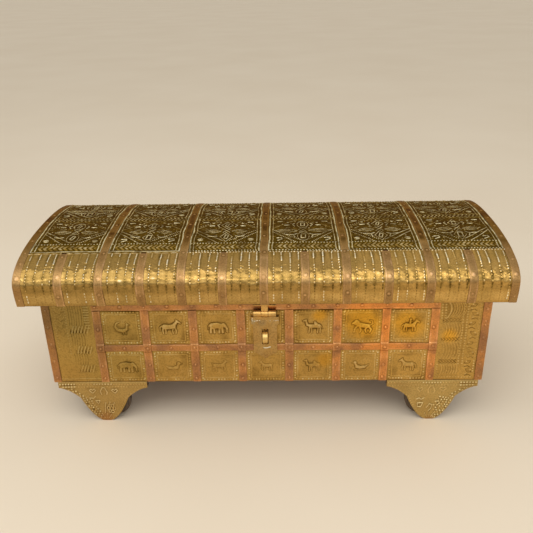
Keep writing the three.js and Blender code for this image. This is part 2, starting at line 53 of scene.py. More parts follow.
TONE = "tone"

log = logging.getLogger("chest")

Pair = tuple[float, float]
Triple = tuple[float, float, float]
Line = Sequence[Pair]


class Slot(Enum):
    """The record's material slots, one named by each finish."""

    BODY_BRASS = "brass_sheet"
    LID_BRASS = "lid_brass"
    COPPER = "copper_strap"
    FITTINGS = "brass_fittings"
    BOX_WOOD = "box_wood"
    FOOT_WOOD = "foot_wood"
    WHEEL_WOOD = "wheel_wood"
    IRON = "iron"


class Body(StrEnum):
    """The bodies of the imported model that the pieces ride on, besides the four wheels."""

    CHEST = "chest"
    LID = "lid"
    HASP = "hasp"


class Facing(Enum):
    """Which way a stamped figure looks."""

    RIGHT = 1
    LEFT = -1


# Meshes.


@dataclass
class Shell:
    """One or more closed surfaces, as whole arrays.

    Attributes:
        points: Places in mm, one row each.
        tone: 0 in a dark hollow, 0.5 on the ground and 1 on a polished crest, one value a point.
        quads: Four point numbers a row, anticlockwise seen from outside.
        triangles: Three point numbers a row.
        polygons: Rings of point numbers with more corners.
    """

    points: np.ndarray
    tone: np.ndarray
    quads: np.ndarray
    triangles: np.ndarray = field(default_factory=lambda: np.zeros((0, 3), np.int64))
    polygons: list[np.ndarray] = field(default_factory=list)


def merge_shells(shells: Sequence[Shell]) -> Shell:
    """Put several shells into one, renumbering their faces.

    Args:
        shells: The shells, in order.

    Returns:
        One shell that holds them all.
    """
    starts = np.cumsum([0] + [len(shell.points) for shell in shells[:-1]])
    placed = list(zip(shells, starts))
    return Shell(
        points=np.concatenate([shell.points for shell in shells]),
        tone=np.concatenate([shell.tone for shell in shells]),
        quads=np.concatenate([shell.quads + start for shell, start in placed]),
        triangles=np.concatenate([shell.triangles + start for shell, start in placed]),
        polygons=[ring + start for shell, start in placed for ring in shell.polygons],
    )


def mesh_from_shell(name: str, shell: Shell, sharp_degrees: float) -> bpy.types.Mesh:
    """Put a shell into a Blender mesh.

    Args:
        name: The mesh's name.
        shell: The closed surface, in mm.
        sharp_degrees: Edges that turn by more than this are shaded sharp.

    Returns:
        The mesh, in metres, with its tone attribute.
    """
    corners = [shell.quads.reshape(-1), shell.triangles.reshape(-1), *shell.polygons]
    counts = [4] * len(shell.quads) + [3] * len(shell.triangles) + [len(ring) for ring in shell.polygons]
    corner_points = np.concatenate(corners).astype(np.int32)
    mesh = bpy.data.meshes.new(name)
    mesh.vertices.add(len(shell.points))
    mesh.vertices.foreach_set("co", (shell.points * MM).astype(np.float32).reshape(-1))
    mesh.loops.add(len(corner_points))
    mesh.loops.foreach_set("vertex_index", corner_points)
    mesh.polygons.add(len(counts))
    mesh.polygons.foreach_set("loop_start", np.cumsum([0] + counts[:-1]).astype(np.int32))
    mesh.update(calc_edges=True)
    mesh.validate()
    mesh.attributes.new(TONE, "FLOAT", "POINT").data.foreach_set("value", shell.tone.astype(np.float32))
    mesh.shade_smooth()
    mesh.set_sharp_from_angle(angle=math.radians(sharp_degrees))
    return mesh


def in_scene(name: str, data: bpy.types.ID) -> bpy.types.Object:
    """Make an object of a mesh, lamp or camera and put it in the scene."""
    made = bpy.data.objects.new(name, data)
    bpy.context.scene.collection.objects.link(made)
    return made


def declare(piece: bpy.types.Object, body: str, stands_for: Sequence[str]) -> None:
    """Say what a piece rides on and which CAD nodes it stands for, and log it."""
    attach(piece, str(body))
    if stands_for:
        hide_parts(*stands_for)
    log.info("%s: %d faces on %s", piece.name, len(piece.data.polygons), body)


def add_piece(
    name: str,
    shells: Sequence[Shell],
    finish: "Finish",
    body: str,
    stands_for: Sequence[str] = (),
    sharp_degrees: float = 50.0,
) -> None:
    """Make a finished piece that rides on a body.

    Args:
        name: The piece's name.
        shells: Its closed surfaces.
        finish: Its finish.
        body: The body it rides on.
        stands_for: CAD nodes it is shown in place of.
        sharp_degrees: Edges that turn by more than this are shaded sharp.
    """
    mesh = mesh_from_shell(name, merge_shells(shells), sharp_degrees)
    mesh.materials.append(finish.material())
    declare(in_scene(name, mesh), body, stands_for)


def rounded_node(node: str, finish: "Finish", body: str, radius: float, steps: int = 2) -> None:
    """Show a CAD node with its edges rounded off, as a filed or planed piece has them.

    Args:
        node: The CAD node, which the piece stands for.
        finish: Its finish.
        body: The body it rides on.
        radius: How far the rounding reaches from each edge, in mm.
        steps: Faces across each rounding.
    """
    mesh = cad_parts[node].data.copy()
    mesh.materials.clear()
    mesh.materials.append(finish.material())
    piece = in_scene(f"{node}_finished", mesh)
    piece.modifiers.new("merge", "WELD").merge_threshold = 0.01 * MM
    bevel = piece.modifiers.new("round", "BEVEL")
    bevel.width = radius * MM
    bevel.segments = steps
    bevel.limit_method = "ANGLE"
    bevel.angle_limit = math.radians(32)
    rounded = bpy.data.meshes.new_from_object(piece.evaluated_get(bpy.context.evaluated_depsgraph_get()))
    piece.modifiers.clear()
    piece.data = rounded
    rounded.shade_smooth()
    rounded.set_sharp_from_angle(angle=math.radians(35))
    declare(piece, body, (node,))


def grid_quads(rows: int, columns: int, wrap_rows: bool = False, wrap_columns: bool = False) -> np.ndarray:
    """Number the faces of a grid whose points are stored row by row.

    Args:
        rows: Points up the grid.
        columns: Points across the grid.
        wrap_rows: Whether the last row is joined to the first.
        wrap_columns: Whether the last column is joined to the first.

    Returns:
        One row of four point numbers for each face, anticlockwise with rows up and columns to the right.
    """
    row = np.arange(rows if wrap_rows else rows - 1)[:, None]
    column = np.arange(columns if wrap_columns else columns - 1)
    above, beside = (row + 1) % rows, (column + 1) % columns
    corners = (row, column), (row, beside), (above, beside), (above, column)
    return np.stack([up * columns + across for up, across in corners], axis=-1).reshape(-1, 4)


def eased(share: np.ndarray) -> np.ndarray:
    """The smooth step share^2 * (3 - 2 * share)."""
    return share * share * (3 - 2 * share)


def crown(off: np.ndarray, width: float) -> np.ndarray:
    """The rounded section 1 - (off / width)^2 of a chased line, and nought beyond its width."""
    return np.clip(1 - (off / width) ** 2, 0, 1)


def oval(u: np.ndarray, v: np.ndarray, centre: Pair, radii: Pair) -> np.ndarray:
    """Distance from an oval's centre, as a share of its radius in that direction."""
    return np.hypot((u - centre[0]) / radii[0], (v - centre[1]) / radii[1])


def off_stretch(u: np.ndarray, v: np.ndarray, start: Pair, end: Pair) -> tuple[np.ndarray, np.ndarray]:
    """Measure places against a straight stretch.

    Args:
        u: Places across.
        v: Places along.
        start: Where the stretch starts.
        end: Where it ends.

    Returns:
        How far each place lies off it, and the share of its length at which it comes nearest.
    """
    du, dv = end[0] - start[0], end[1] - start[1]
    share = np.clip(((u - start[0]) * du + (v - start[1]) * dv) / max(du * du + dv * dv, 1e-9), 0, 1)
    return np.hypot(u - start[0] - share * du, v - start[1] - share * dv), share


def box_ring(left: float, right: float, low: float, high: float) -> tuple[Pair, ...]:
    """The corners of a square border, once round and back to the first."""
    return (left, low), (right, low), (right, high), (left, high), (left, low)


def value_noise(across: np.ndarray, along: np.ndarray, cell: float, seed: int) -> np.ndarray:
    """Smooth hills and hollows between -1 and 1, which repeat after 64 cells.

    Each place mixes the four random values at the corners of its cell, weighted by the smooth step of how
    far it lies across the cell.

    Args:
        across: Places across, in mm.
        along: Places along, in mm.
        cell: The size of one hill, in mm.
        seed: Picks the hills.

    Returns:
        The value at each place.
    """
    cells = 64
    corners = np.random.default_rng(seed).uniform(-1, 1, (cells, cells))
    # The shift by 1000 cells keeps every place above nought.
    u, v = across / cell + 1000.0, along / cell + 1000.0
    iu, iv = np.floor(u).astype(int), np.floor(v).astype(int)
    su, sv = eased(u - iu), eased(v - iv)
    low, high = (
        corners[iu % cells, row % cells] * (1 - su) + corners[(iu + 1) % cells, row % cells] * su
        for row in (iv, iv + 1)
    )
    return low * (1 - sv) + high * sv


def smoothed(values: np.ndarray, reach: int) -> np.ndarray:
    """Average a grid over a square of cells, twice.

    Args:
        values: The grid.
        reach: Cells to each side.

    Returns:
        The averaged grid.
    """
    size = 2 * reach + 1
    for axis in (0, 1, 0, 1):
        padded = np.pad(values, [(reach + 1, reach) if a == axis else (0, 0) for a in (0, 1)], mode="edge")
        total = np.cumsum(padded, axis=axis)
        upper = np.take(total, np.arange(size, total.shape[axis]), axis=axis)
        lower = np.take(total, np.arange(0, total.shape[axis] - size), axis=axis)
        values = (upper - lower) / size
    return values


# Grounds.


class Ground(Protocol):
    """A surface that a sheet or strap is laid on."""

    def place(self, across: np.ndarray, along: np.ndarray, rise: np.ndarray) -> np.ndarray:
        """Turn places on the sheet into points in the chest's frame, with their three coordinates last."""
        ...


@dataclass(frozen=True)
class FlatGround:
    """A flat face: across runs to the right of someone looking at it, along runs up.

    Attributes:
        origin: Where across, along and rise are all nought.
        right: The direction of across.
        up: The direction of along.
        out: The direction of rise.
    """

    origin: Triple
    right: Triple
    up: Triple
    out: Triple

    @classmethod
    def face(cls, side: str, distance: float) -> "FlatGround":
        """The plane of one side of the body, seen from outside, whose along is the height over the floor.

        Args:
            side: "front", "back", "left" or "right".
            distance: How far the plane lies from the chest's middle.

        Returns:
            The ground.
        """
        right, out = {
            "front": ((1, 0, 0), (0, -1, 0)),
            "back": ((-1, 0, 0), (0, 1, 0)),
            "left": ((0, -1, 0), (-1, 0, 0)),
            "right": ((0, 1, 0), (1, 0, 0)),
        }[side]
        return cls(tuple(distance * c for c in out), right, (0, 0, 1), out)

    def turned(self) -> "FlatGround":
        """The same face turned by a quarter, so that along runs to the right and across runs down."""
        return replace(self, right=tuple(-c for c in self.up), up=self.right)

    def place(self, across: np.ndarray, along: np.ndarray, rise: np.ndarray) -> np.ndarray:
        """Add across, along and rise, each times its direction, to the origin."""
        parts = (across, self.right), (along, self.up), (rise, self.out)
        return np.array(self.origin) + sum(values[..., None] * np.array(way) for values, way in parts)


@dataclass(frozen=True)
class LidOutline:
    """The lid's cross-section, as the part's source draws it, but as a smooth curve.

    The sides lean out along a parabola from the lower edge, and the dome is a quarter of a superellipse.

    Attributes:
        half_depth: Half the lid's depth over the straps.
        lower_z: Height of the lower edge.
        side_height: Height of the leaning sides.
        tuck: How far the lower edge is drawn in.
        dome_rise: Height of the dome above the sides.
        power: The superellipse's power.
    """

    half_depth: float = 94.0
    lower_z: float = 125.8
    side_height: float = 18.0
    tuck: float = 2.0
    dome_rise: float = 26.0
    power: float = 2.3

    def table(self) -> np.ndarray:
        """Follow the outline from the front lower edge to the rear one.

        Returns:
            Rows of length along the outline, y, z and the outward normal's y and z.
        """
        share = np.linspace(0, 1, 240)[:-1]
        side_y = -(self.half_depth - self.tuck * (1 - share) ** 2)
        angle = np.linspace(0, np.pi / 2, 2400)
        dome_y = -self.half_depth * np.cos(angle).clip(0) ** (2 / self.power)
        dome_z = self.lower_z + self.side_height + self.dome_rise * np.sin(angle) ** (2 / self.power)
        side = np.stack([side_y, self.lower_z + share * self.side_height], axis=1)
        front = np.concatenate([side, np.stack([dome_y, dome_z], axis=1)])
        whole = np.concatenate([front, front[-2::-1] * (-1, 1)])
        length = np.concatenate([[0], np.cumsum(np.hypot(*np.diff(whole, axis=0).T))])
        even = np.linspace(0, length[-1], 3000)
        y, z = np.interp(even, length, whole[:, 0]), np.interp(even, length, whole[:, 1])
        slope_y, slope_z = np.gradient(y), np.gradient(z)
        size = np.hypot(slope_y, slope_z)
        return np.stack([even, y, z, -slope_z / size, slope_y / size], axis=1)


LID_TABLE = LidOutline().table()
LID_GIRTH = float(LID_TABLE[-1, 0])


def on_outline(along: np.ndarray | float) -> list[np.ndarray]:
    """Y, z and the outward normal's y and z at lengths round the lid from its front lower edge."""
    return [np.interp(along, LID_TABLE[:, 0], column) for column in LID_TABLE[:, 1:].T]


@dataclass(frozen=True)
class LidGround:
    """The lid's outside: across runs along X and along is the length round it from its front lower edge.

    Attributes:
        centre: X where across is nought.
        depth: How far under the outline a rise of nought lies.
    """

    centre: float
    depth: float

    def place(self, across: np.ndarray, along: np.ndarray, rise: np.ndarray) -> np.ndarray:
        """Move in from the outline along its normal by the depth, less the rise."""
        y, z, normal_y, normal_z = on_outline(along)
        inwards = self.depth - rise
        return np.stack([self.centre + across, y - inwards * normal_y, z - inwards * normal_z], axis=-1)


# Relief.


@dataclass(frozen=True)
class Limb:
    """A tapering stroke of a stamped figure, drawn from the first point to the last.

    Attributes:
        points: Its line, in mm from the figure's middle.
        start: Half its width at the first point.
        end: Half its width at the last point.
    """

    points: tuple[Pair, ...]
    start: float
    end: float


@dataclass(frozen=True)
class Stamp:
    """The figure that is stamped in one square.

    Attributes:
        limbs: What it shows, drawn facing right.
        size: How much larger than drawn.
        facing: Which way it looks.
        height: How far it stands out, in mm.
    """

    limbs: tuple[Limb, ...]
    size: float = 1.0
    facing: Facing = Facing.RIGHT
    height: float = 0.48


class Relief:
    """Tool marks raised or sunk in a sheet, on a grid of places in mm.

    A mark that is raised keeps whatever already stands higher under it, and one that is sunk adds to it.

    Attributes:
        across: Places across, a grid.
        along: Places along, a grid.
        u: Where a place counts as lying across when marks are made.
        v: Where it counts as lying along.
        rise: Height of the metal at each place, in mm.
        grime_and_shade: Extra darkness at each place, 0 to 1, from grime and from painted shade; below nought it
            paints light.
    """

    def __init__(self, across: np.ndarray, along: np.ndarray) -> None:
        """Start with a flat sheet over a grid of places."""
        self.across, self.along = across, along
        self.u, self.v = across.copy(), along.copy()
        self.rise, self.grime_and_shade = np.zeros(across.shape), np.zeros(across.shape)

    @classmethod
    def sheet(cls, across: Pair, along: Pair, step: float) -> "Relief":
        """Make a rectangular sheet.

        Args:
            across: Its limits across.
            along: Its limits along.
            step: Distance between grid points.

        Returns:
            The flat relief.
        """
        columns, rows = (max(int(round((high - low) / step)), 2) + 1 for low, high in (across, along))
        return cls(*np.meshgrid(np.linspace(*across, columns), np.linspace(*along, rows)))

    def noise(self, cell: float, seed: int, crowding: float = 1.0) -> np.ndarray:
        """Hills and hollows between -1 and 1 over the sheet, drawn together along it by the crowding."""
        return value_noise(self.across, crowding * self.along, cell, seed)

    def _near(self, points: Line, margin: float | Pair) -> np.ndarray:
        """Pick the grid places within a margin of the rectangle round some points."""
        low, high = np.min(points, axis=0) - margin, np.max(points, axis=0) + margin
        return (self.u >= low[0]) & (self.u <= high[0]) & (self.v >= low[1]) & (self.v <= high[1])

    def _mark(self, near: np.ndarray, share: np.ndarray, height: float) -> None:
        """Raise the metal to share times height, or sink it where height is below nought."""
        if height >= 0:
            self.rise[near] = np.maximum(self.rise[near], share * height)
        else:
            self.rise[near] += share * height

    def _beside(self, start: Pair, end: Pair, margin: float) -> tuple[np.ndarray, np.ndarray, np.ndarray, float]:
        """Measure the places near a straight line.

        Args:
            start: Where the line starts.
            end: Where it ends.
            margin: How far round it places count as near.

        Returns:
            Which places are near, their distances along and beside the line, and the line's length.
        """
        near = self._near((start, end), margin)
        line = np.subtract(end, start)
        length = float(np.hypot(*line))
        way = line / length
        du, dv = self.u[near] - start[0], self.v[near] - start[1]
        return near, du * way[0] + dv * way[1], dv * way[0] - du * way[1], length

    def beads(self, start: Pair, end: Pair, height: float = 0.5, radius: float = 0.85, pitch: float = 2.65) -> None:
        """Punch a straight row of round beads from the back.

        A bead rises as (1 - (r / radius)^2)^0.8 times its height, where r is the distance to the nearest
        bead's middle.

        Args:
            start: Middle of the first bead.
            end: Where the row ends.
            height: Height of a bead.
            radius: Radius of a bead.
            pitch: Distance between beads.
        """
        near, run, off, length = self._beside(start, end, radius)
        middle = np.clip(np.round(run / pitch), 0, math.floor(length / pitch + 1e-6)) * pitch
        self._mark(near, crown(np.hypot(run - middle, off), radius) ** 0.8, height)

    def dashes(
        self, start: Pair, end: Pair, pitch: float, length: float, width: float, height: float, seed: int
    ) -> None:
        """Punch a straight row of dashes of uneven strength, as a chisel leaves them.

        Args:
            start: Where the row starts.
            end: Where the row ends.
            pitch: Distance between dashes.
            length: Length of a dash.
            width: Half the width of a dash.
            height: Height of the strongest dash.
            seed: Picks how strong each dash is.
        """
        near, run, off, total = self._beside(start, end, width)
        last = int(total // pitch)
        number = np.clip(np.floor(run / pitch), 0, last).astype(int)
        strength = np.random.default_rng(seed).uniform(0.2, 1.0, last + 1)[number]
        beyond = np.clip(np.abs(run - (number + 0.5) * pitch) - length / 2 + width, 0, None)
        self._mark(near, crown(np.hypot(beyond, off), width) ** 0.8 * strength, height)

    def ridge(self, points: Line, width: float, height: float) -> None:
        """Chase a rounded line along straight stretches between points.

        Args:
            points: Corners of the line.
            width: Half its width.
            height: Its height, or its depth where below nought.
        """
        near = self._near(points, width)
        u, v = self.u[near], self.v[near]
        closest = np.min([off_stretch(u, v, start, end)[0] for start, end in pairwise(points)], axis=0)
        self._mark(near, crown(closest, width), height)

    def lozenge(self, centre: Pair, reach: Pair, width: float, height: float) -> None:
        """Chase a lozenge whose tips lie so far across and along from its centre."""
        (u, v), (du, dv) = centre, reach
        self.ridge(((u, v - dv), (u + du, v), (u, v + dv), (u - du, v), (u, v - dv)), width, height)

    def ring(self, centre: Pair, radii: Pair, width: float, height: float) -> None:
        """Chase an oval ring, whose distance is how far the scaled radius is from 1, times the mean radius.

        Args:
            centre: Its middle.
            radii: Its radii across and along.
            width: Half the width of its line.
            height: Its height.
        """
        near = self._near([centre], max(radii) + width)
        off = (oval(self.u[near], self.v[near], centre, radii) - 1) * sum(radii) / 2
        self._mark(near, crown(off, width), height)

    def boss(self, centre: Pair, radii: Pair, height: float) -> None:
        """Raise an oval boss with a rounded top, given its radii across and along."""
        near = self._near([centre], radii)
        self._mark(near, crown(oval(self.u[near], self.v[near], centre, radii), 1.0) ** 0.7, height)

    def leaf(self, start: Pair, end: Pair, width: float, line: float, height: float) -> None:
        """Chase the outline of a pointed leaf with its midrib.

        The outline lies where the distance to the midrib is width times the sine of the share along it.

        Args:
            start: One tip.
            end: The other tip.
            width: Half the leaf's width.
            line: Half the width of the chased line.
            height: Its height.
        """
        near, run, beside, length = self._beside(start, end, width + line)
        off = np.abs(beside)
        share = np.clip(run / length, 0, 1)
        beyond = np.clip(np.abs(run - length / 2) - length / 2, 0, None)
        edge = np.abs(off - width * np.sin(np.pi * share))
        rib = np.where((share > 0.2) & (share < 0.8), off, 1e9)
        self._mark(near, crown(np.hypot(np.minimum(edge, rib * 1.5), beyond), line), height)

    def chevrons(self, across: Pair, along: Pair, pitch: float, lean: float, width: float, height: float) -> None:
        """Stamp a band of arrowheads that point sideways.

        The phase of a place is its distance across less lean times its distance from the band's middle
        line, and a stroke lies where the phase is a whole number of pitches.

        Args:
            across: Limits of the band across.
            along: Limits of the band along.
            pitch: Distance between arrowheads.
            lean: How far a stroke leans for each mm off the middle line.
            width: Half the width of a stroke.
            height: Its height.
        """
        near = self._near(list(zip(across, along)), 0.0)
        phase = self.u[near] - lean * np.abs(self.v[near] - sum(along) / 2)
        off = np.abs((phase / pitch + 0.5) % 1 - 0.5) * pitch / math.hypot(1, lean)
        self._mark(near, crown(off, width), height)

    def ribs(
        self, across: Pair, along: Pair, count: int, bend: float, width: float, height: float, fade: float = 0.0
    ) -> None:
        """Flute a patch with upright ribs that bow sideways like nested brackets.

        A rib's middle lies bend * (1 - s^2) to the right of where it starts, where s runs from -1 to 1 up the
        patch.

        Args:
            across: Limits of the patch across, at its ends.
            along: Limits of the patch along.
            count: How many ribs.
            bend: How far the ribs bow out at half height.
            width: Half the width of a rib.
            height: Its height.
            fade: Share of the height lost towards the lower end.
        """
        near = self._near(list(zip(across, along)), (abs(bend), 0.0))
        s = 2 * (self.v[near] - along[0]) / (along[1] - along[0]) - 1
        flat = self.u[near] - bend * (1 - s * s)
        pitch = (across[1] - across[0]) / (count - 1)
        number = np.clip(np.round((flat - across[0]) / pitch), 0, count - 1)
        off = np.abs(flat - across[0] - number * pitch)
        strength = (1 - fade * (1 - (s + 1) / 2)) * np.clip((1 - np.abs(s)) * 6, 0, 1)
        self._mark(near, crown(off, width) * strength, height)

    def figure(self, stamp: Stamp, centre: Pair) -> None:
        """Stamp a figure: its limbs melt into one raised shape with a fine groove round it.

        The distance to a limb is the distance to its line less its half width there. The shape rises
        smoothly over the first mm inside its edge.

        Args:
            stamp: The figure.
            centre: Where its middle comes.
        """
        near = self._near([centre], 13 * stamp.size)
        u = (self.u[near] - centre[0]) * stamp.facing.value / stamp.size
        v = (self.v[near] - centre[1]) / stamp.size
        edge = np.full(u.shape, 1e9)
        for limb in stamp.limbs:
            line = limb.points if len(limb.points) > 1 else limb.points * 2
            steps = np.concatenate([[0], np.cumsum([math.dist(*stretch) for stretch in pairwise(line)])])
            for (start, end), (before, after) in zip(pairwise(line), pairwise(steps)):
                off, share = off_stretch(u, v, start, end)
                run = (before + share * (after - before)) / max(steps[-1], 1e-9)
                edge = np.minimum(edge, off - limb.start - (limb.end - limb.start) * run)
        edge = edge * stamp.size
        inside = np.clip(-edge, 0, 1)
        groove = np.clip(1 - np.abs(edge - 0.35) / 0.5, 0, 1)
        self.rise[near] += stamp.height * (eased(inside) - 0.3 * groove)
        # Wear has left the figure only a little brighter than the sheet.
        self.grime_and_shade[near] = np.maximum(self.grime_and_shade[near], np.maximum(0.55 * groove, 0.32 * inside))

    def stain(self, centre: Pair, radii: Pair) -> None:
        """Blacken an oval patch, softly, given its radii across and along."""
        self.grime_and_shade = np.maximum(self.grime_and_shade, np.clip(1.4 - oval(self.across, self.along, centre, radii), 0, 1))

    def wash(self, along: Pair, share: float, soft: float) -> None:
        """Darken a band right across the sheet, or brighten it where share is below nought.

        Args:
            along: Its limits along.
            share: How dark, -1 to 1.
            soft: Over what length it fades at its edges, in mm.
        """
        inside = np.minimum(self.along - along[0], along[1] - self.along) / soft + 0.5
        self.grime_and_shade += share * np.clip(inside, 0, 1)

    def unsteady(self, amount: float, cell: float, seed: int) -> None:
        """Let the marks that follow wander, as they do under a hand-held punch.

        Args:
            amount: How far they wander, in mm.
            cell: Over what length, in mm.
            seed: Picks the way they wander.
        """
        self.u = self.across + amount * self.noise(cell, seed)
        self.v = self.along + amount * self.noise(cell, seed + 1000)

    def dent(self, cell: float, amount: float, seed: int) -> None:
        """Add the hills and hollows of thin sheet nailed on by hand, of a size and height in mm."""
        self.rise += amount * self.noise(cell, seed)

    def tone(self, crest: float, reach: int, polish: float = 0.5, grime: float = 0.32) -> np.ndarray:
        """Work out where polish and grime lie.

        Crests are the metal's height over the average round it, and hollows lie below that average.

        Args:
            crest: Height over the average that counts as fully polished, in mm.
            reach: Cells that the average takes in to each side.
            polish: How much a full crest adds.
            grime: How much a full hollow takes away.

        Returns:
            A grid from 0 in a dark hollow to 1 on a polished crest.
        """
        over = self.rise - smoothed(self.rise, reach)
        up, down = np.clip(over / crest, 0, 1), np.clip(-over / (0.6 * crest), 0, 1)
        return np.clip(0.5 + polish * up - grime * down - 0.5 * self.grime_and_shade, 0, 1)


def sheet_shell(ground: Ground, relief: Relief, thickness: float, tone: np.ndarray) -> Shell:
    """Close a relief into a sheet with a plain back.

    The front is the relief's grid. The back is one strip of faces a row, a thickness under the lowest
    ground, and the four rims join them.

    Args:
        ground: The surface it lies on.
        relief: Its worked front.
        thickness: How far the back lies under a rise of nought.
        tone: Polish and grime for the front.

    Returns:
        The closed sheet.
    """
    rows, columns = relief.rise.shape
    first = rows * columns
    last = first + 2 * (rows - 1)
    front = ground.place(relief.across, relief.along, relief.rise)
    back = ground.place(relief.across[:, [0, -1]], relief.along[:, [0, -1]], np.full((rows, 2), -thickness))
    row = np.arange(rows - 1)
    left, right, back_left = row * columns, row * columns + columns - 1, first + 2 * row
    back_right = back_left + 1
    quads = [
        grid_quads(rows, columns),
        np.stack([back_left, left, left + columns, back_left + 2], axis=1),
        np.stack([right, back_right, back_right + 2, right + columns], axis=1),
        np.stack([back_left, back_left + 2, back_right + 2, back_right], axis=1),
    ]
    bottom = np.concatenate([[first, first + 1], np.arange(columns)[::-1]])
    top = np.concatenate([[last + 1, last], (rows - 1) * columns + np.arange(columns)])
    return Shell(
        points=np.concatenate([front.reshape(-1, 3), back.reshape(-1, 3)]),
        tone=np.concatenate([tone.reshape(-1), np.full(2 * rows, 0.45)]),
        quads=np.concatenate(quads),
        polygons=[bottom, top],
    )


def folded_section(span: float, bend: float, thick: float, sunk: float) -> tuple[np.ndarray, np.ndarray, np.ndarray]:
    """The L-shaped section of a strip folded along its middle over a corner, rounded by a quarter circle.

    Args:
        span: Length of each leg from the corner.
        bend: Outer radius of the fold.
        thick: Thickness of the strip.
        sunk: How far its outside lies in from the corner's two faces.

    Returns:
        Points once round, measured in from the two faces; the place of each across the strip, from -1 to 1;
        and which lie on its outside.
    """
    arc = np.linspace(0, np.pi / 2, 5)
    run = np.linspace(sunk + bend, span, 9)
    flat = np.full(len(run), sunk)
    outer = [
        np.stack([run[::-1], flat], axis=1)[:-1],
        sunk + bend - bend * np.stack([np.sin(arc), np.cos(arc)], axis=1),
        np.stack([flat, run], axis=1)[1:],
    ]
    back = sunk + thick
    section = np.concatenate([*outer, [[back, span], [back, back], [span, back]]])
    across = np.concatenate([np.linspace(-1, 1, len(section) - 3), [1, 0, -1]])
    return section, across, np.arange(len(section)) < len(section) - 3


def carried_shell(rings: np.ndarray, tone: np.ndarray) -> Shell:
    """Join a closed profile that is carried along a path, and close its two ends.

    Args:
        rings: Points by place along the path, place round the profile, and coordinate. The profile runs
            anticlockwise for someone who looks back along the path.
        tone: Polish and grime, by place along the path and round the profile.

    Returns:
        The closed solid.
    """
    rows, columns = rings.shape[:2]
    ends = [np.arange(columns)[::-1], (rows - 1) * columns + np.arange(columns)]
    quads = grid_quads(rows, columns, wrap_columns=True)
    return Shell(rings.reshape(-1, 3), np.clip(tone, 0, 1).reshape(-1), quads, polygons=ends)


# Finishes.


def linear(hex_colour: str, gain: float = 1.0) -> tuple[float, float, float, float]:
    """Turn an sRGB colour such as "#98743a" into Blender's linear one.

    A channel up to 0.04045 is divided by 12.92, and above it is ((c + 0.055) / 1.055) to the power 2.4.

    Args:
        hex_colour: The colour as a hash and six digits.
        gain: What red, green and blue are multiplied by.

    Returns:
        Red, green, blue and an alpha of 1.
    """
    channels = [int(hex_colour[i : i + 2], 16) / 255 for i in (1, 3, 5)]
    red, green, blue = (gain * (c / 12.92 if c <= 0.04045 else ((c + 0.055) / 1.055) ** 2.4) for c in channels)
    return red, green, blue, 1.0


def add_node(
    tree: bpy.types.NodeTree,
    kind: str,
    inputs: dict[str | int, object],
    stops: Sequence[tuple[float, str]] = (),
    **settings: object,
) -> bpy.types.Node:
    """Add a node, set its properties, and fill or link its inputs.

    Args:
        tree: The material's or world's nodes.
        kind: The node's type, without its usual beginning.
        inputs: For each input by name or number, a value, an output to link from, or a node whose first live
            output is linked.
        stops: A colour ramp's positions and sRGB colours, from low to high.
        settings: Its properties.

    Returns:
        The node.
    """
    node = tree.nodes.new(f"ShaderNode{kind}")
    for name, value in settings.items():
        setattr(node, name, value)
    for key, value in inputs.items():
        if isinstance(value, bpy.types.Node):
            value = next(output for output in value.outputs if output.enabled)
        if isinstance(value, bpy.types.NodeSocket):
            tree.links.new(value, node.inputs[key])
        else:
            node.inputs[key].default_value = value
    for number, (position, colour) in enumerate(stops):
        elements = node.color_ramp.elements
        element = elements[number] if number < len(elements) else elements.new(position)
        element.position, element.color = position, linear(colour)
    return node


def empty_tree(owner: bpy.types.Material | bpy.types.World) -> bpy.types.NodeTree:
    """Give a material or world a node tree with nothing in it."""
    owner.use_nodes = True
    owner.node_tree.nodes.clear()
    return owner.node_tree


@dataclass(frozen=True)
class Finish:
    """What a piece of the chest is made of, to the eye.

    Attributes:
        name: The material's name.
        slot: The record's slot that it belongs to; not used.
    """

    name: str
    slot: Slot | None

    def surface(self, tree: bpy.types.NodeTree, place: bpy.types.NodeSocket) -> bpy.types.Node:
        """Add the nodes of the surface, given the place in the chest's frame, and return the shader."""
        raise NotImplementedError

    @cache
    def material(self) -> bpy.types.Material:
        """Make the material at the first call, and give the same one after that."""
        material = bpy.data.materials.new(self.name)
        tree = empty_tree(material)
        place = add_node(tree, "TexCoord", {}).outputs["Object"]
        add_node(tree, "OutputMaterial", {"Surface": self.surface(tree, place)})
        return material


@dataclass(frozen=True)
class Patch:
    """A soft round patch of another colour on a metal, used for real wear and crust and also for painted light and
    shade.

    Attributes:
        centre: Its middle in the chest's frame, in mm.
        radius: Its reach, in mm.
        colour: Its colour.
        share: How much of its colour shows at its middle.
        gain: What the colour is multiplied by, so that a tint may brighten.
        blend: "MULTIPLY" to tint the metal, or "MIX" to cover it.
    """

    centre: Triple
    radius: float
    colour: str
    share: float
    gain: float = 1.0
    blend: str = "MULTIPLY"


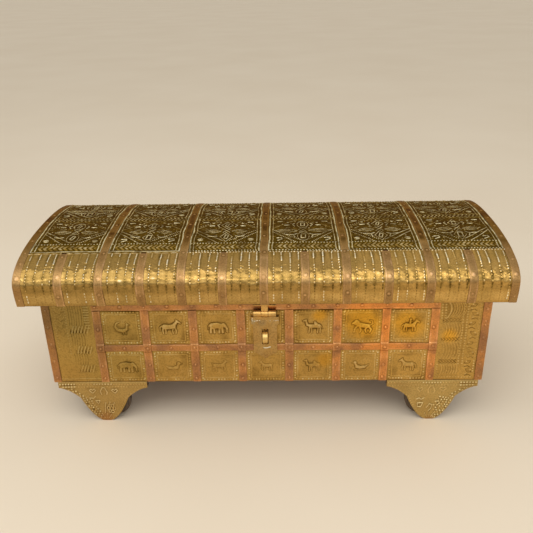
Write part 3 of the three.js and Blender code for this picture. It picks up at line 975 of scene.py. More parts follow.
@dataclass(frozen=True)
class Metal(Finish):
    """Old sheet metal: grime in the hollows, bare polish on the crests, and cloudy tarnish between.

    Attributes:
        hollow: Colour of the grime in the hollows.
        ground: Colour of the plain metal.
        rubbed: Colour of half rubbed metal.
        crest: Colour of the rubbed crests.
        cloud: Colour of the tarnish clouds.
        cloud_mm: Size of a cloud.
        cloud_share: How much of the cloud's colour shows.
        rough: Roughness from the cleanest to the dullest places.
        hammer_mm: Size of the shallow hammer marks.
        hammer_depth: Their depth, in mm.
        follows_tone: Whether the pieces carry the tone attribute.
        patches: Soft patches of other colours.
        metallic: How metallic it is; tarnish makes it a little less than whole.
        edge_tint: Tint of the reflection at a grazing angle.
    """

    hollow: str
    ground: str
    rubbed: str
    crest: str
    cloud: str
    cloud_mm: float
    cloud_share: float
    rough: Pair
    hammer_mm: float
    hammer_depth: float
    follows_tone: bool = True
    patches: tuple[Patch, ...] = ()
    metallic: float = 0.92
    edge_tint: str = "#e6cf9c"

    def patched(
        self, tree: bpy.types.NodeTree, place: bpy.types.NodeSocket, clouds: bpy.types.Node, colour: bpy.types.Node
    ) -> bpy.types.Node:
        """Lay the patches over the colour, each with an edge blurred by the clouds.

        Args:
            tree: The material's nodes.
            place: The place in the chest's frame.
            clouds: The tarnish clouds.
            colour: The colour under the patches.

        Returns:
            The colour with the patches.
        """
        for patch in self.patches:
            reach = patch.radius * MM
            off = add_node(
                tree, "VectorMath", {0: place, 1: tuple(c * MM for c in patch.centre)}, operation="DISTANCE"
            )
            blurred = add_node(tree, "Math", {0: clouds, 1: 0.8 * reach, 2: off}, operation="MULTIPLY_ADD")
            share = add_node(
                tree, "MapRange",
                {"Value": blurred, "From Min": 1.4 * reach, "From Max": 0.7 * reach, "To Max": patch.share},
                interpolation_type="SMOOTHSTEP",
            )
            tint = linear(patch.colour, patch.gain)
            colour = add_node(tree, "Mix", {0: share, 6: colour, 7: tint}, data_type="RGBA", blend_type=patch.blend)
        return colour

    def surface(self, tree: bpy.types.NodeTree, place: bpy.types.NodeSocket) -> bpy.types.Node:
        """Colour by tone, clouds, patches and specks, and bump by hammer marks and grit."""
        clouds = add_node(tree, "TexNoise", {"Vector": place, "Scale": 1 / (self.cloud_mm * MM), "Detail": 5.0})
        # Fine tarnish specks of 1.3 mm, which is about the finest that shows in the picture.
        specks = add_node(tree, "TexNoise", {"Vector": place, "Scale": 770.0, "Detail": 3.0})
        if self.follows_tone:
            tone = add_node(tree, "Attribute", {}, attribute_name=TONE).outputs["Fac"]
        else:
            tone = add_node(
                tree, "MapRange", {"Value": clouds, "From Min": 0.3, "From Max": 0.7, "To Min": 0.3, "To Max": 0.8}
            )
        stops = (0.0, self.hollow), (0.44, self.ground), (0.56, self.ground), (0.74, self.rubbed), (1.0, self.crest)
        metal = add_node(tree, "ValToRGB", {"Fac": tone}, stops)
        cloudy = add_node(
            tree, "MapRange", {"Value": clouds, "From Min": 0.42, "From Max": 0.66, "To Max": self.cloud_share}
        )
        colour = add_node(tree, "Mix", {0: cloudy, 6: metal, 7: linear(self.cloud)}, data_type="RGBA")
        colour = self.patched(tree, place, clouds, colour)
        dirt = add_node(tree, "MapRange", {"Value": specks, "From Min": 0.3, "From Max": 0.55, "To Min": 0.72})
        colour = add_node(tree, "Mix", {0: 1.0, 6: colour, 7: dirt}, data_type="RGBA", blend_type="MULTIPLY")
        clean, dull = self.rough
        rough = add_node(
            tree, "MapRange", {"Value": clouds, "From Min": 0.35, "From Max": 0.65, "To Min": clean, "To Max": dull}
        )
        hammer = add_node(tree, "TexNoise", {"Vector": place, "Scale": 1 / (self.hammer_mm * MM), "Detail": 1.5})
        marks = add_node(tree, "Bump", {"Height": hammer, "Distance": self.hammer_depth * MM * 2, "Strength": 1.0})
        grit = add_node(tree, "Bump", {"Height": specks, "Distance": 0.012 * MM, "Strength": 1.0, "Normal": marks})
        return add_node(
            tree, "BsdfPrincipled",
            {
                "Base Color": colour, "Metallic": self.metallic, "Roughness": rough,
                "Specular Tint": linear(self.edge_tint), "Normal": grit,
            },
        )


@dataclass(frozen=True)
class Timber(Finish):
    """Sawn and planed wood, its grain running along X.

    Attributes:
        early: Colour of the pale growth.
        late: Colour of the dark growth.
        stain: Colour of the dirt of use.
        ring_mm: Distance between grain lines.
        stain_share: How much dirt shows.
        rough: Roughness from the smoothest to the roughest places.
        upright: Whether the grain runs up instead.
    """

    early: str
    late: str
    stain: str
    ring_mm: float
    stain_share: float
    rough: Pair
    upright: bool = False

    def surface(self, tree: bpy.types.NodeTree, place: bpy.types.NodeSocket) -> bpy.types.Node:
        """Colour by grain and dirt, and bump by the open pores."""
        # The grain is drawn out twelve times as long as it is wide.
        stretch = (1.0, 1.0, 1 / 12) if self.upright else (1 / 12, 1.0, 1.0)
        drawn_out = add_node(tree, "Mapping", {"Vector": place, "Scale": stretch})
        grain = add_node(
            tree, "TexNoise",
            {
                "Vector": drawn_out, "Scale": 1 / (self.ring_mm * MM), "Detail": 6.0, "Roughness": 0.62,
                "Distortion": 0.5,
            },
        )
        wood = add_node(tree, "ValToRGB", {"Fac": grain}, ((0.36, self.late), (0.5, self.early), (0.62, self.late)))
        dirt = add_node(tree, "TexNoise", {"Vector": place, "Scale": 40.0, "Detail": 5.0})
        stained = add_node(
            tree, "MapRange", {"Value": dirt, "From Min": 0.4, "From Max": 0.7, "To Max": self.stain_share}
        )
        colour = add_node(tree, "Mix", {0: stained, 6: wood, 7: linear(self.stain)}, data_type="RGBA")
        smooth, open_grained = self.rough
        rough = add_node(
            tree, "MapRange",
            {"Value": grain, "From Min": 0.3, "From Max": 0.7, "To Min": smooth, "To Max": open_grained},
        )
        pores = add_node(tree, "Bump", {"Height": grain, "Distance": 0.25 * MM, "Strength": 0.7})
        return add_node(
            tree, "BsdfPrincipled", {"Base Color": colour, "Roughness": rough, "IOR": 1.5, "Normal": pores}
        )


@dataclass(frozen=True)
class Card(Finish):
    """Matt card, faintly mottled.

    Attributes:
        dark: Colour of its darker places.
        pale: Colour of its paler places.
    """

    dark: str
    pale: str

    def surface(self, tree: bpy.types.NodeTree, place: bpy.types.NodeSocket) -> bpy.types.Node:
        """Mix the two colours by soft blotches about a third of a metre wide."""
        mottle = add_node(tree, "TexNoise", {"Vector": place, "Scale": 3.0, "Detail": 3.0})
        colour = add_node(tree, "ValToRGB", {"Fac": mottle}, ((0.3, self.dark), (0.7, self.pale)))
        return add_node(tree, "BsdfPrincipled", {"Base Color": colour, "Roughness": 0.85})


# Brass sheet, embossed by hand and nailed on: golden brown, with brown grime round every mark.
BODY_BRASS = Metal(
    "embossed_brass_body", Slot.BODY_BRASS, hollow="#573d12", ground="#c09850", rubbed="#dbb978", crest="#f0dca8",
    cloud="#b18c48", cloud_mm=22, cloud_share=0.6, rough=(0.32, 0.44), hammer_mm=7, hammer_depth=0.06,
    patches=(
        # A painted golden glow on the upper squares right of the hasp, and in a few smaller spots.
        Patch(centre=(86, -86, 105), radius=27, colour="#ffeda0", share=1.0, gain=1.3),
        Patch(centre=(126, -86, 102), radius=21, colour="#ffeda0", share=0.9, gain=1.25),
        Patch(centre=(54, -86, 66), radius=13, colour="#ffeda8", share=0.8, gain=1.2),
        Patch(centre=(48, -86, 112), radius=9, colour="#ffeca0", share=0.9, gain=1.25),
        Patch(centre=(163, -86, 90), radius=10, colour="#ffeeac", share=1.0, gain=1.34),
        # Painted light on the right end, and painted shade on the left end under the lid.
        Patch(centre=(150, -86, 70), radius=80, colour="#fcfdff", share=1.0, gain=1.16),
        Patch(centre=(-182, -86, 118), radius=42, colour="#e6ecf2", share=1.0, gain=0.92),
        Patch(centre=(-140, -86, 90), radius=75, colour="#f8ffff", share=1.0, gain=0.88),
    ),
)
# The front feet's plates, whose tips are worn through to a reddish brown.
FOOT_BRASS = replace(
    BODY_BRASS, name="embossed_brass_feet", ground="#bc9c5e", cloud="#ab8b50",
    patches=(
        # Painted light on the right foot's plate.
        Patch(centre=(152, -86, 20), radius=60, colour="#f6fbff", share=1.0, gain=1.24),
        Patch(centre=(-154, -86, 2), radius=10, colour="#a8683e", share=0.45, blend="MIX"),
        Patch(centre=(152, -86, 0), radius=6, colour="#a8764c", share=0.5, blend="MIX"),
    ),
)
# The same sheet on the dome: dark with patina and with a painted dark reflection over the top, and its crests pale,
# rubbed and partly a painted glint.
LID_BRASS = Metal(
    "patinated_and_shaded_brass_lid", Slot.LID_BRASS, hollow="#2b2009", ground="#705a1e", rubbed="#b4914a", crest="#faf0c8",
    cloud="#5a4416", cloud_mm=9, cloud_share=0.75, rough=(0.34, 0.48), hammer_mm=6, hammer_depth=0.06,
    edge_tint="#b39a5c",
)
# The lid's lower front: yellow brass whose nearly white dashes are rubbed crests and partly a painted glint.
SKIRT_BRASS = Metal(
    "rubbed_and_sheen_brass_skirt", Slot.LID_BRASS, hollow="#4c3a10", ground="#b69150", rubbed="#d6b06a", crest="#fff6da",
    cloud="#a08144", cloud_mm=16, cloud_share=0.55, rough=(0.13, 0.24), hammer_mm=6, hammer_depth=0.5,
    patches=(
        # Painted light on the right half, and painted shade on the left.
        Patch(centre=(150, -94, 138), radius=120, colour="#fffefa", share=1.0, gain=1.2),
        Patch(centre=(-150, -94, 132), radius=90, colour="#fdffff", share=1.0, gain=0.9),
    ),
)
# Copper strip on the body: orange brown, bright along its edges, dark round the nails.
BODY_COPPER = Metal(
    "copper_strip_body", Slot.COPPER, hollow="#6b3d1c", ground="#c58b54", rubbed="#dba26e", crest="#eebf8e",
    cloud="#9f7350", cloud_mm=13, cloud_share=0.8, rough=(0.28, 0.42), hammer_mm=6, hammer_depth=0.1,
    patches=(
        # Painted light on the straps to the right, and painted shade on those to the left under the lid.
        Patch(centre=(122, -87, 92), radius=88, colour="#fff6e6", share=1.0, gain=1.3),
        Patch(centre=(100, -87, 110), radius=44, colour="#fff2dc", share=1.0, gain=1.14),
        Patch(centre=(-168, -87, 100), radius=64, colour="#f2fbff", share=1.0, gain=0.8),
        Patch(centre=(-197, -87, 118), radius=30, colour="#eefaff", share=1.0, gain=0.72),
    ),
)
# Copper strip on the lid, browner with age.
LID_COPPER = Metal(
    "copper_strip_lid", Slot.COPPER, hollow="#38280f", ground="#ae8956", rubbed="#cda270", crest="#efcba4",
    cloud="#9a7346", cloud_mm=14, cloud_share=0.6, rough=(0.28, 0.42), hammer_mm=6, hammer_depth=0.1,
    edge_tint="#c9a87c",
)
# Brass of the hinges: thicker, handled and scratched.
FITTING_BRASS = Metal(
    "handled_brass_fittings", Slot.FITTINGS, hollow="#6d5128", ground="#bd9659", rubbed="#cfaa6c", crest="#dcb97c",
    cloud="#a5854e", cloud_mm=9, cloud_share=0.5, rough=(0.25, 0.4), hammer_mm=4, hammer_depth=0.04,
    # The patch is a painted highlight round the hasp's barrel.
    follows_tone=False, patches=(Patch(centre=(0, -91, 117), radius=15, colour="#fff8ec", share=1.0, gain=1.42),),
)
# The hasp, with a pale grey-white crust of old polish round its shoulders.
HASP_BRASS = replace(
    FITTING_BRASS, name="crusted_brass_hasp", ground="#bb9558",
    patches=(
        # A painted highlight on the barrel.
        Patch(centre=(0, -92, 119), radius=13, colour="#fff8ec", share=1.0, gain=1.42),
        Patch(centre=(-10.5, -87.5, 107), radius=3.5, colour="#a99a74", share=0.6, blend="MIX"),
        Patch(centre=(-2, -87.5, 106), radius=5, colour="#9d8a66", share=0.5, blend="MIX"),
    ),
)
# The staple, rubbed bright by the hasp.
STAPLE_BRASS = replace(
    FITTING_BRASS, name="bright_brass_staple", ground="#e3bd74", rubbed="#edcb86", crest="#f6dc9c", cloud="#d0a862",
)
# Metal polish that has dried white in the corners and in the chisel's mark.
DRIED_POLISH = replace(
    FITTING_BRASS, name="dried_metal_polish", hollow="#b3a680", ground="#cfc4a2", rubbed="#e6dec4", crest="#f6efdb",
    cloud="#bdaf88", rough=(0.6, 0.8), metallic=0.1, follows_tone=True,
)
# Forged iron rod: black scale with brown rust where it has rubbed.
AXLE_IRON = Metal(
    "forged_iron_axle", Slot.IRON, hollow="#241d19", ground="#4a403a", rubbed="#5b4f47", crest="#6b5d52",
    cloud="#5a3822", cloud_mm=4, cloud_share=0.7, rough=(0.5, 0.7), hammer_mm=2, hammer_depth=0.08,
    follows_tone=False, metallic=0.8,
)
# Mango wood boards, bare inside: red-brown, with open grain and the grey of old dust.
BOX_WOOD = Timber(
    "bare_mango_wood", Slot.BOX_WOOD, early="#8c6039", late="#5e3b20", stain="#3a2617", ring_mm=2.6,
    stain_share=0.55, rough=(0.55, 0.75),
)
# The feet are the same wood, stained nearly black brown.
FOOT_WOOD = Timber(
    "stained_wood_feet", Slot.FOOT_WOOD, early="#5c3d25", late="#3a2413", stain="#22170e", ring_mm=2.2,
    stain_share=0.6, rough=(0.5, 0.7),
)
# The turned wheels are close-grained wood, black with floor dirt.
WHEEL_WOOD = Timber(
    "turned_wood_wheels", Slot.WHEEL_WOOD, early="#6a5540", late="#3c2e22", stain="#1c150f", ring_mm=1.4,
    stain_share=0.5, rough=(0.4, 0.6), upright=True,
)
# The studio's floor: a warm, nearly white card.
FLOOR_CARD = Card("pale_studio_floor", None, dark="#e4d5be", pale="#e8dac4")


# Stamped figures.


ELEPHANT = (
    Limb(((-4.6, 1.2), (-1.0, 2.0), (3.0, 1.4)), 3.4, 3.0),
    Limb(((5.4, 2.6), (6.6, 1.6)), 2.3, 1.8),
    Limb(((7.6, 0.8), (8.8, -1.6), (8.4, -4.8), (9.4, -5.4)), 1.2, 0.5),
    Limb(((-6.4, -0.6), (-6.6, -5.6)), 1.35, 1.15),
    Limb(((-3.4, -1.6), (-3.2, -5.8)), 1.2, 1.05),
    Limb(((1.6, -1.4), (1.4, -5.8)), 1.2, 1.05),
    Limb(((4.2, -0.8), (4.6, -5.6)), 1.35, 1.15),
    Limb(((-7.6, 2.4), (-9.0, 0.4), (-9.0, -2.2)), 0.4, 0.3),
)
HORSE = (
    Limb(((-4.6, 0.8), (-0.5, 0.5), (3.0, 1.2)), 2.6, 2.4),
    Limb(((3.6, 2.4), (6.2, 6.0)), 1.9, 1.2),
    Limb(((6.2, 6.4), (9.2, 4.4)), 1.3, 0.7),
    Limb(((5.6, 7.2), (5.4, 8.4)), 0.5, 0.25),
    Limb(((-6.0, -0.6), (-6.6, -3.2), (-6.2, -6.4)), 0.95, 0.55),
    Limb(((-4.2, -1.0), (-3.8, -3.4), (-4.2, -6.4)), 0.9, 0.55),
    Limb(((2.6, -0.8), (2.0, -3.4), (2.6, -6.4)), 0.85, 0.5),
    Limb(((4.2, -0.4), (5.4, -3.2), (4.8, -6.2)), 0.85, 0.5),
    Limb(((-7.0, 1.6), (-8.8, 0.2), (-9.0, -3.4)), 0.75, 0.35),
)
CAMEL = (
    Limb(((-4.4, 0.6), (3.0, 0.4)), 2.1, 1.9),
    Limb(((-1.8, 2.2), (-0.8, 4.6)), 2.1, 0.9),
    Limb(((3.6, 0.8), (6.0, 1.6), (7.0, 5.6)), 1.3, 0.85),
    Limb(((7.0, 6.2), (9.4, 5.6)), 1.0, 0.6),
    Limb(((-5.6, -0.6), (-5.8, -6.4)), 0.8, 0.5),
    Limb(((-3.8, -0.8), (-3.4, -6.4)), 0.8, 0.5),
    Limb(((2.0, -0.8), (1.6, -6.4)), 0.8, 0.5),
    Limb(((3.6, -0.6), (4.2, -6.4)), 0.8, 0.5),
    Limb(((-6.2, 1.0), (-7.6, -1.6)), 0.4, 0.25),
)
LION = (
    Limb(((-4.8, 0.4), (-0.6, 0.8), (2.6, 1.6)), 2.1, 2.3),
    Limb(((4.6, 3.2),), 2.7, 2.7),
    Limb(((6.6, 3.0), (7.8, 2.4)), 1.3, 0.9),
    Limb(((-5.6, -0.4), (-7.6, -2.8), (-6.8, -6.0)), 1.1, 0.6),
    Limb(((-3.8, -0.8), (-2.6, -3.4), (-3.8, -6.0)), 1.0, 0.6),
    Limb(((2.0, -0.4), (0.8, -3.4), (1.6, -6.0)), 0.95, 0.6),
    Limb(((4.0, 0.2), (6.0, -2.6), (6.6, -5.8)), 0.95, 0.6),
    Limb(((-6.4, 1.4), (-8.8, 2.6), (-8.2, 5.4), (-6.2, 6.0)), 0.6, 0.4),
)
GOAT = (
    Limb(((-4.4, 0.8), (-0.6, 0.4), (3.0, 1.0)), 2.2, 2.0),
    Limb(((3.4, 2.0), (5.8, 5.2)), 1.4, 0.9),
    Limb(((5.8, 5.6), (8.2, 4.4)), 1.1, 0.6),
    Limb(((5.4, 6.4), (3.8, 8.0), (1.8, 8.0)), 0.6, 0.3),
    Limb(((-5.8, -0.4), (-6.4, -6.2)), 0.8, 0.45),
    Limb(((-4.0, -0.8), (-3.6, -6.2)), 0.8, 0.45),
    Limb(((2.2, -0.6), (1.8, -6.2)), 0.75, 0.45),
    Limb(((4.0, -0.2), (5.2, -3.0), (4.4, -5.8)), 0.75, 0.45),
    Limb(((-6.6, 2.0), (-7.6, 3.4)), 0.5, 0.3),
)
DUCK = (
    Limb(((-4.0, -1.8), (0.0, -2.4), (3.0, -1.4)), 1.9, 2.1),
    Limb(((-5.4, -1.0), (-8.4, 1.2)), 1.1, 0.4),
    Limb(((3.6, -0.4), (5.0, 2.4)), 1.4, 1.1),
    Limb(((5.2, 3.6),), 1.7, 1.7),
    Limb(((6.4, 3.6), (8.4, 3.0)), 0.6, 0.25),
    Limb(((-6.4, -5.2), (6.0, -5.2)), 0.45, 0.35),
)
PEACOCK = (
    Limb(((-1.6, 6.6), (-5.2, 5.0), (-6.4, 1.2), (-4.4, -2.4), (0.2, -3.2)), 0.4, 2.0),
    Limb(((0.2, -3.2), (3.4, -1.8)), 2.0, 1.5),
    Limb(((3.8, -1.0), (4.4, 2.6)), 1.2, 0.8),
    Limb(((4.6, 3.4),), 1.2, 1.2),
    Limb(((5.6, 3.4), (7.0, 3.0)), 0.45, 0.2),
    Limb(((4.2, 4.8), (3.6, 6.2)), 0.35, 0.3),
    Limb(((0.6, -4.8), (0.2, -7.0)), 0.45, 0.35),
    Limb(((2.6, -4.4), (2.8, -7.0)), 0.45, 0.35),
)
RIDER = HORSE + (
    Limb(((-0.4, 3.2), (-0.2, 6.0)), 1.3, 1.0),
    Limb(((-0.1, 7.8),), 1.2, 1.2),
    Limb(((0.4, 5.6), (3.4, 4.8)), 0.5, 0.4),
    Limb(((0.2, 2.6), (1.0, -1.0)), 0.7, 0.5),
)
ROSETTE = tuple(
    Limb(((2.0 * math.cos(a), 2.0 * math.sin(a)), (6.2 * math.cos(a), 6.2 * math.sin(a))), 0.7, 1.5)
    for a in np.arange(8) * math.pi / 4
) + (Limb(((0.0, 0.0),), 1.6, 1.6),)


# The squares from left to right, the upper row first. Old wear has flattened the lower ones.
STAMPS = (
    (
        Stamp(PEACOCK, 0.95), Stamp(HORSE), Stamp(ELEPHANT, 0.95), Stamp(ROSETTE, 0.8), Stamp(CAMEL, 1.0, Facing.LEFT),
        Stamp(LION, 1.05, Facing.LEFT), Stamp(RIDER, 0.85),
    ),
    (
        Stamp(ELEPHANT, 0.95, height=0.336), Stamp(DUCK, 0.9, height=0.288), Stamp(GOAT, 0.95, height=0.288),
        Stamp(GOAT, 0.8, Facing.LEFT, 0.288), Stamp(CAMEL, 0.9, Facing.LEFT, 0.32), Stamp(DUCK, 0.9, Facing.LEFT, 0.4),
        Stamp(HORSE, 0.85, Facing.LEFT, 0.36),
    ),
)


# Straps and nails.


@dataclass
class NailBag:
    """The nails of one body, gathered from its straps and driven together.

    Attributes:
        radius: Radius of a head.
        height: Height of a head.
        frames: For each nail its middle, two directions in the strap's face and the direction of its head.
    """

    radius: float = 1.55
    height: float = 0.75
    frames: list[np.ndarray] = field(default_factory=list)

    def add(self, ground: Ground, places: Sequence[Pair], rise: float) -> None:
        """Drive nails into a ground.

        Args:
            ground: The surface they are driven into.
            places: Across and along for each nail.
            rise: Height of the strap there.
        """
        if not places:
            return
        across, along = np.array(places, float).T
        level = np.full(len(across), rise)
        middle = ground.place(across, along, level)
        out = ground.place(across, along, level + 1) - middle
        right = ground.place(across + 0.01, along, level) - middle
        right /= np.linalg.norm(right, axis=1, keepdims=True)
        self.frames.append(np.stack([middle, right, np.cross(out, right), out], axis=1))

    def shell(self, seed: int) -> Shell:
        """Make all the heads: each is a low dome of eight sides, three rings and a top point.

        Args:
            seed: Picks how much each head differs.

        Returns:
            The heads in one shell.
        """
        sides, rings = 8, ((1.0, -0.35), (1.0, 0.12), (0.72, 0.7))
        angle = np.arange(sides) * 2 * np.pi / sides
        plan = [np.stack([r * np.cos(angle), r * np.sin(angle), np.full(sides, h)], axis=1) for r, h in rings]
        head = np.concatenate([*plan, [[0, 0, 1.0]]])
        number = np.arange(sides)
        inner = (len(rings) - 1) * sides + number
        cap = np.stack([inner, np.roll(inner, -1), np.full(sides, len(head) - 1)], axis=1)
        # Each head is darker at its rim and bright on its crown: painted shade and a painted highlight.
        tone = np.concatenate([np.repeat([0.2, 0.3, 0.6], sides), [0.85]])
        middle, right, up, out = np.concatenate(self.frames).transpose(1, 0, 2)
        rng = np.random.default_rng(seed)
        size = self.radius * rng.uniform(0.9, 1.1, len(middle))
        tall = self.height * rng.uniform(0.75, 1.0, len(middle))
        spread = head[:, 0, None] * right[:, None] + head[:, 1, None] * up[:, None]
        points = middle[:, None] + spread * size[:, None, None] + head[:, 2, None] * (out * tall[:, None])[:, None]
        shift = np.arange(len(middle))[:, None, None] * len(head)
        return Shell(
            points=points.reshape(-1, 3),
            tone=np.tile(tone, len(middle)),
            quads=(grid_quads(len(rings), sides, wrap_columns=True) + shift).reshape(-1, 4),
            triangles=(cap + shift).reshape(-1, 3),
            polygons=[number[::-1] + nail * len(head) for nail in range(len(middle))],
        )


@dataclass(frozen=True)
class Strap:
    """A strip of soft copper, cut by hand and nailed down.

    Attributes:
        centre: Middle of the strip across.
        along: Its two ends.
        width: Its width.
        nails: Where along it nails are driven.
        seed: Picks how it wavers.
        thickness: Thickness of the strip.
        step: Distance between grid points.
        hump: Where it passes over another strap, and how high: middle, half length and height.
        painted_shade: Where it is painted darker, as shade over the lid's top, and by how much: start, end and amount.
    """

    centre: float
    along: Pair
    width: float
    nails: tuple[float, ...]
    seed: int
    thickness: float = 0.5
    step: float = 0.6
    hump: Triple = (0.0, 0.0, 0.0)
    painted_shade: Triple = (0.0, 1.0, 0.0)

    def nail_places(self) -> list[Pair]:
        """Where its nails go, each a little off the middle line."""
        rng = np.random.default_rng(self.seed)
        return [(self.centre + rng.uniform(-0.5, 0.5), along + rng.uniform(-0.6, 0.6)) for along in self.nails]

    def relief(self) -> tuple[Relief, np.ndarray]:
        """Shape the strip.

        It is crowned by 0.12 * (1 - t^2), where t runs from -1 to 1 across, falls off over its last
        seventh, wavers along its length, and is driven in round each nail.

        Returns:
            The relief and its tone.
        """
        rows = int(round((self.along[1] - self.along[0]) / self.step)) + 1
        columns = int(round(self.width / self.step)) + 1
        t, along = np.meshgrid(np.linspace(-1, 1, columns), np.linspace(*self.along, rows))
        waver = value_noise(along, 0 * along, 16, self.seed) * 0.22
        wide = 1 + 0.05 * value_noise(along, 0 * along + 5, 11, self.seed + 1)
        relief = Relief(self.centre + waver + t * wide * self.width / 2, along)
        relief.rise = 0.12 * (1 - t * t) - 0.3 * np.clip((np.abs(t) - 0.72) / 0.28, 0, 1) ** 2
        relief.dent(10, 0.12, self.seed + 2)
        middle, half, height = self.hump
        relief.rise += height * eased(np.clip((half + 1.2 - np.abs(along - middle)) / 1.2, 0, 1))
        # Its edges are bright just inside the dark cut, rubbed and partly a painted highlight, and each nail stands in
        # a dark ring.
        tone = 0.5 + 0.3 * np.clip(1 - np.abs(np.abs(t) - 0.78) / 0.2, 0, 1) - 0.12 * (np.abs(t) > 0.99)
        tone += 0.14 * relief.noise(7, self.seed + 3)
        for across, place in self.nail_places():
            off = np.hypot(relief.across - across, along - place)
            relief.rise -= 0.25 * np.exp(-((off / 2.3) ** 2))
            tone -= 0.2 * np.exp(-(((off - 1.9) / 0.5) ** 2))
        # Painted shade: the strap darkens from start to end.
        start, end, amount = self.painted_shade
        tone -= amount * np.clip((along - start) / (end - start), 0, 1)
        return relief, np.clip(tone, 0, 1)

    def shell(self, ground: Ground, bag: NailBag) -> Shell:
        """Lay the strip on a ground and leave its nails in a bag, those on the hump last.

        Args:
            ground: The surface it is nailed to.
            bag: Takes its nails.

        Returns:
            The closed strip.
        """
        middle, half, height = self.hump
        for raised in (False, True):
            places = [
                place for place in self.nail_places() if (height > 0 and abs(place[1] - middle) < half + 1) == raised
            ]
            bag.add(ground, places, height * raised - 0.1)
        relief, tone = self.relief()
        return sheet_shell(ground, relief, self.thickness, tone)


# The body.


@dataclass(frozen=True)
class BodyCladding:
    """The embossed brass sheet round the body, in panels whose joints lie under the straps.

    Attributes:
        face_y: Where the front and back sheets lie.
        face_x: Where the side sheets lie.
        height: Their lower and upper edges.
        pitch: Distance between the front straps.
        opening: Width of a square between two straps.
        rows: Lower and upper limits of the two rows of squares.
        outer: Where the outer panels begin and end, from the middle.
        hem: Where the corner straps cover them.
        step: Distance between grid points on the front.
        under: How far a panel reaches under a strap.
    """

    face_y: float = 84.9
    face_x: float = 195.9
    height: Pair = (43.52, 125.4)
    pitch: float = 42.5
    opening: float = 35.0
    rows: tuple[Pair, Pair] = ((83.15, 118.0), (43.5, 76.35))
    outer: Pair = (152.5, 195.6)
    hem: float = 189.5
    step: float = 0.45
    under: float = 1.6

    def add(self, name: str, face: str, relief: Relief, tone: np.ndarray, stands_for: Sequence[str] = ()) -> None:
        """Lay a worked panel on one side of the body."""
        ground = FlatGround.face(face, self.face_y if face in ("front", "back") else self.face_x)
        add_piece(name, [sheet_shell(ground, relief, 0.4, tone)], BODY_BRASS, Body.CHEST, stands_for)

    def front_column(self, index: int) -> None:
        """Make one upright panel with its two stamped squares.

        Each square has a border of beads worn unevenly, then a low ridge.

        Args:
            index: Which panel from the left, from 0 to 6.
        """
        centre, half = (index - 3) * self.pitch, self.opening / 2
        reach = half + self.under
        relief = Relief.sheet((centre - reach, centre + reach), self.height, self.step)
        relief.unsteady(0.3, 13, 20 + index)
        for number, ((low, high), stamps) in enumerate(zip(self.rows, STAMPS)):
            beaded, ridged = (
                box_ring(centre - half + margin, centre + half - margin, low + margin, high - margin)
                for margin in (1.9, 4.0)
            )
            for side, (start, end) in enumerate(pairwise(beaded)):
                relief.dashes(start, end, 2.65, 1.9, 0.9, 0.62, 100 + 10 * index + 5 * number + side)
            relief.ridge(ridged, 0.6, 0.22)
            relief.figure(stamps[index], (centre + 0.5, (low + high) / 2 - 0.3))
        # Painted shadow of the top strap along the upper squares' top edge.
        relief.wash((116.2, 118.8), 0.7, 0.8)
        if index == 3:
            # The straps beside the hasp have sprung off the sheet, and the shade in the gap is painted dark.
            for edge in (centre - half, centre + half):
                relief.stain((edge, 107), (1.5, 8.5))
        relief.dent(15, 0.14, 40 + index)
        relief.dent(6, 0.05, 60 + index)
        relief.grime_and_shade += 0.5 * np.clip(relief.noise(9, 90 + index), -0.25, 0.7)
        tone = relief.tone(0.36, 5, 0.42, 0.45)
        self.add(f"front_panel_{index + 1}", "front", relief, tone, () if index else ("body_sheet",))

    def left_outer_marks(self, relief: Relief) -> None:
        """Punch the worn left outer panel: a vine by the corner, flutes, and groups of slanted strokes.

        Args:
            relief: The panel.
        """
        left, right = -self.hem, -self.outer[0]
        for across, low in ((left + 3.0, 78), (left + 13.0, 74)):
            relief.beads((across, 124.5), (across, low), 0.3, 0.8)
        for number, along in enumerate(np.arange(119.5, 76, -7.2)):
            fade = 0.26 - 0.03 * number
            side = 1 if number % 2 else -1
            relief.leaf((left + 8, along - 4), (left + 8 + side * 3.4, along + 3.4), 1.6, 0.55, fade)
            relief.ring((left + 8 - side * 2.6, along + 0.5), (1.5, 1.5), 0.5, fade)
        for low, high, height in ((102, 126, -0.2), (81, 96, -0.18), (61, 75, -0.14)):
            relief.ribs((left + 15.5, right - 8), (low, high), 7, 0.8, 0.55, height, 0.4)
        # Slanted strokes, dark with grime, close each tier of flutes.
        for across, along, count in ((left + 15.5, 99.0, 6), (left + 18.0, 78.0, 5), (left + 18.5, 57.5, 5)):
            for number in range(count):
                start = across + number * 2.7
                relief.ridge(((start, along - 3.6), (start + 2.4, along + 3.6)), 0.6, -0.5 + 0.04 * number)
                relief.ridge(((start + 1.35, along - 3.4), (start + 3.75, along + 3.4)), 0.55, 0.4)
        # A ladder of punched rungs by the strap, worn away below.
        for along in np.arange(124.5, 99, -2.65):
            relief.ridge(((right - 7.0, along), (right - 3.2, along)), 0.7, 0.34)
        for across in (right - 7.0, right - 3.0):
            relief.beads((across, 96), (across, 46), 0.12, 0.8)
        relief.ridge(((left, 46.6), (right, 46.6)), 0.6, 0.3)

    def right_outer_marks(self, relief: Relief) -> None:
        """Punch the right outer panel: tiers of bowed flutes, ladders of beads, a vine of florets.

        Args:
            relief: The panel.
        """
        left, right = self.outer[0], self.hem
        for across in (left + 2.2, left + 5.2):
            relief.beads((across, 124), (across, 108), 0.5, 0.9)
            relief.beads((across, 60), (across, 48), 0.35, 0.8)
        for band, bend, count, start in (
            ((108, 125), 3.6, 6, 7.5), ((88, 103.5), 2.4, 7, 3.5), ((65, 84), 3.0, 7, 2.5), ((49, 61), 1.4, 7, 4.0),
        ):
            relief.ribs((left + start, left + 18.0), band, count, bend, 0.6, -0.4)
            relief.ribs((left + start + 1.3, left + 19.3), band, count, bend, 0.5, 0.3)
        curve = [(left + 6.5 + 3.4 * (1 - s * s), 116.5 + 8.5 * s) for s in np.linspace(-1, 1, 9)]
        relief.ridge(curve, 0.75, 0.5)
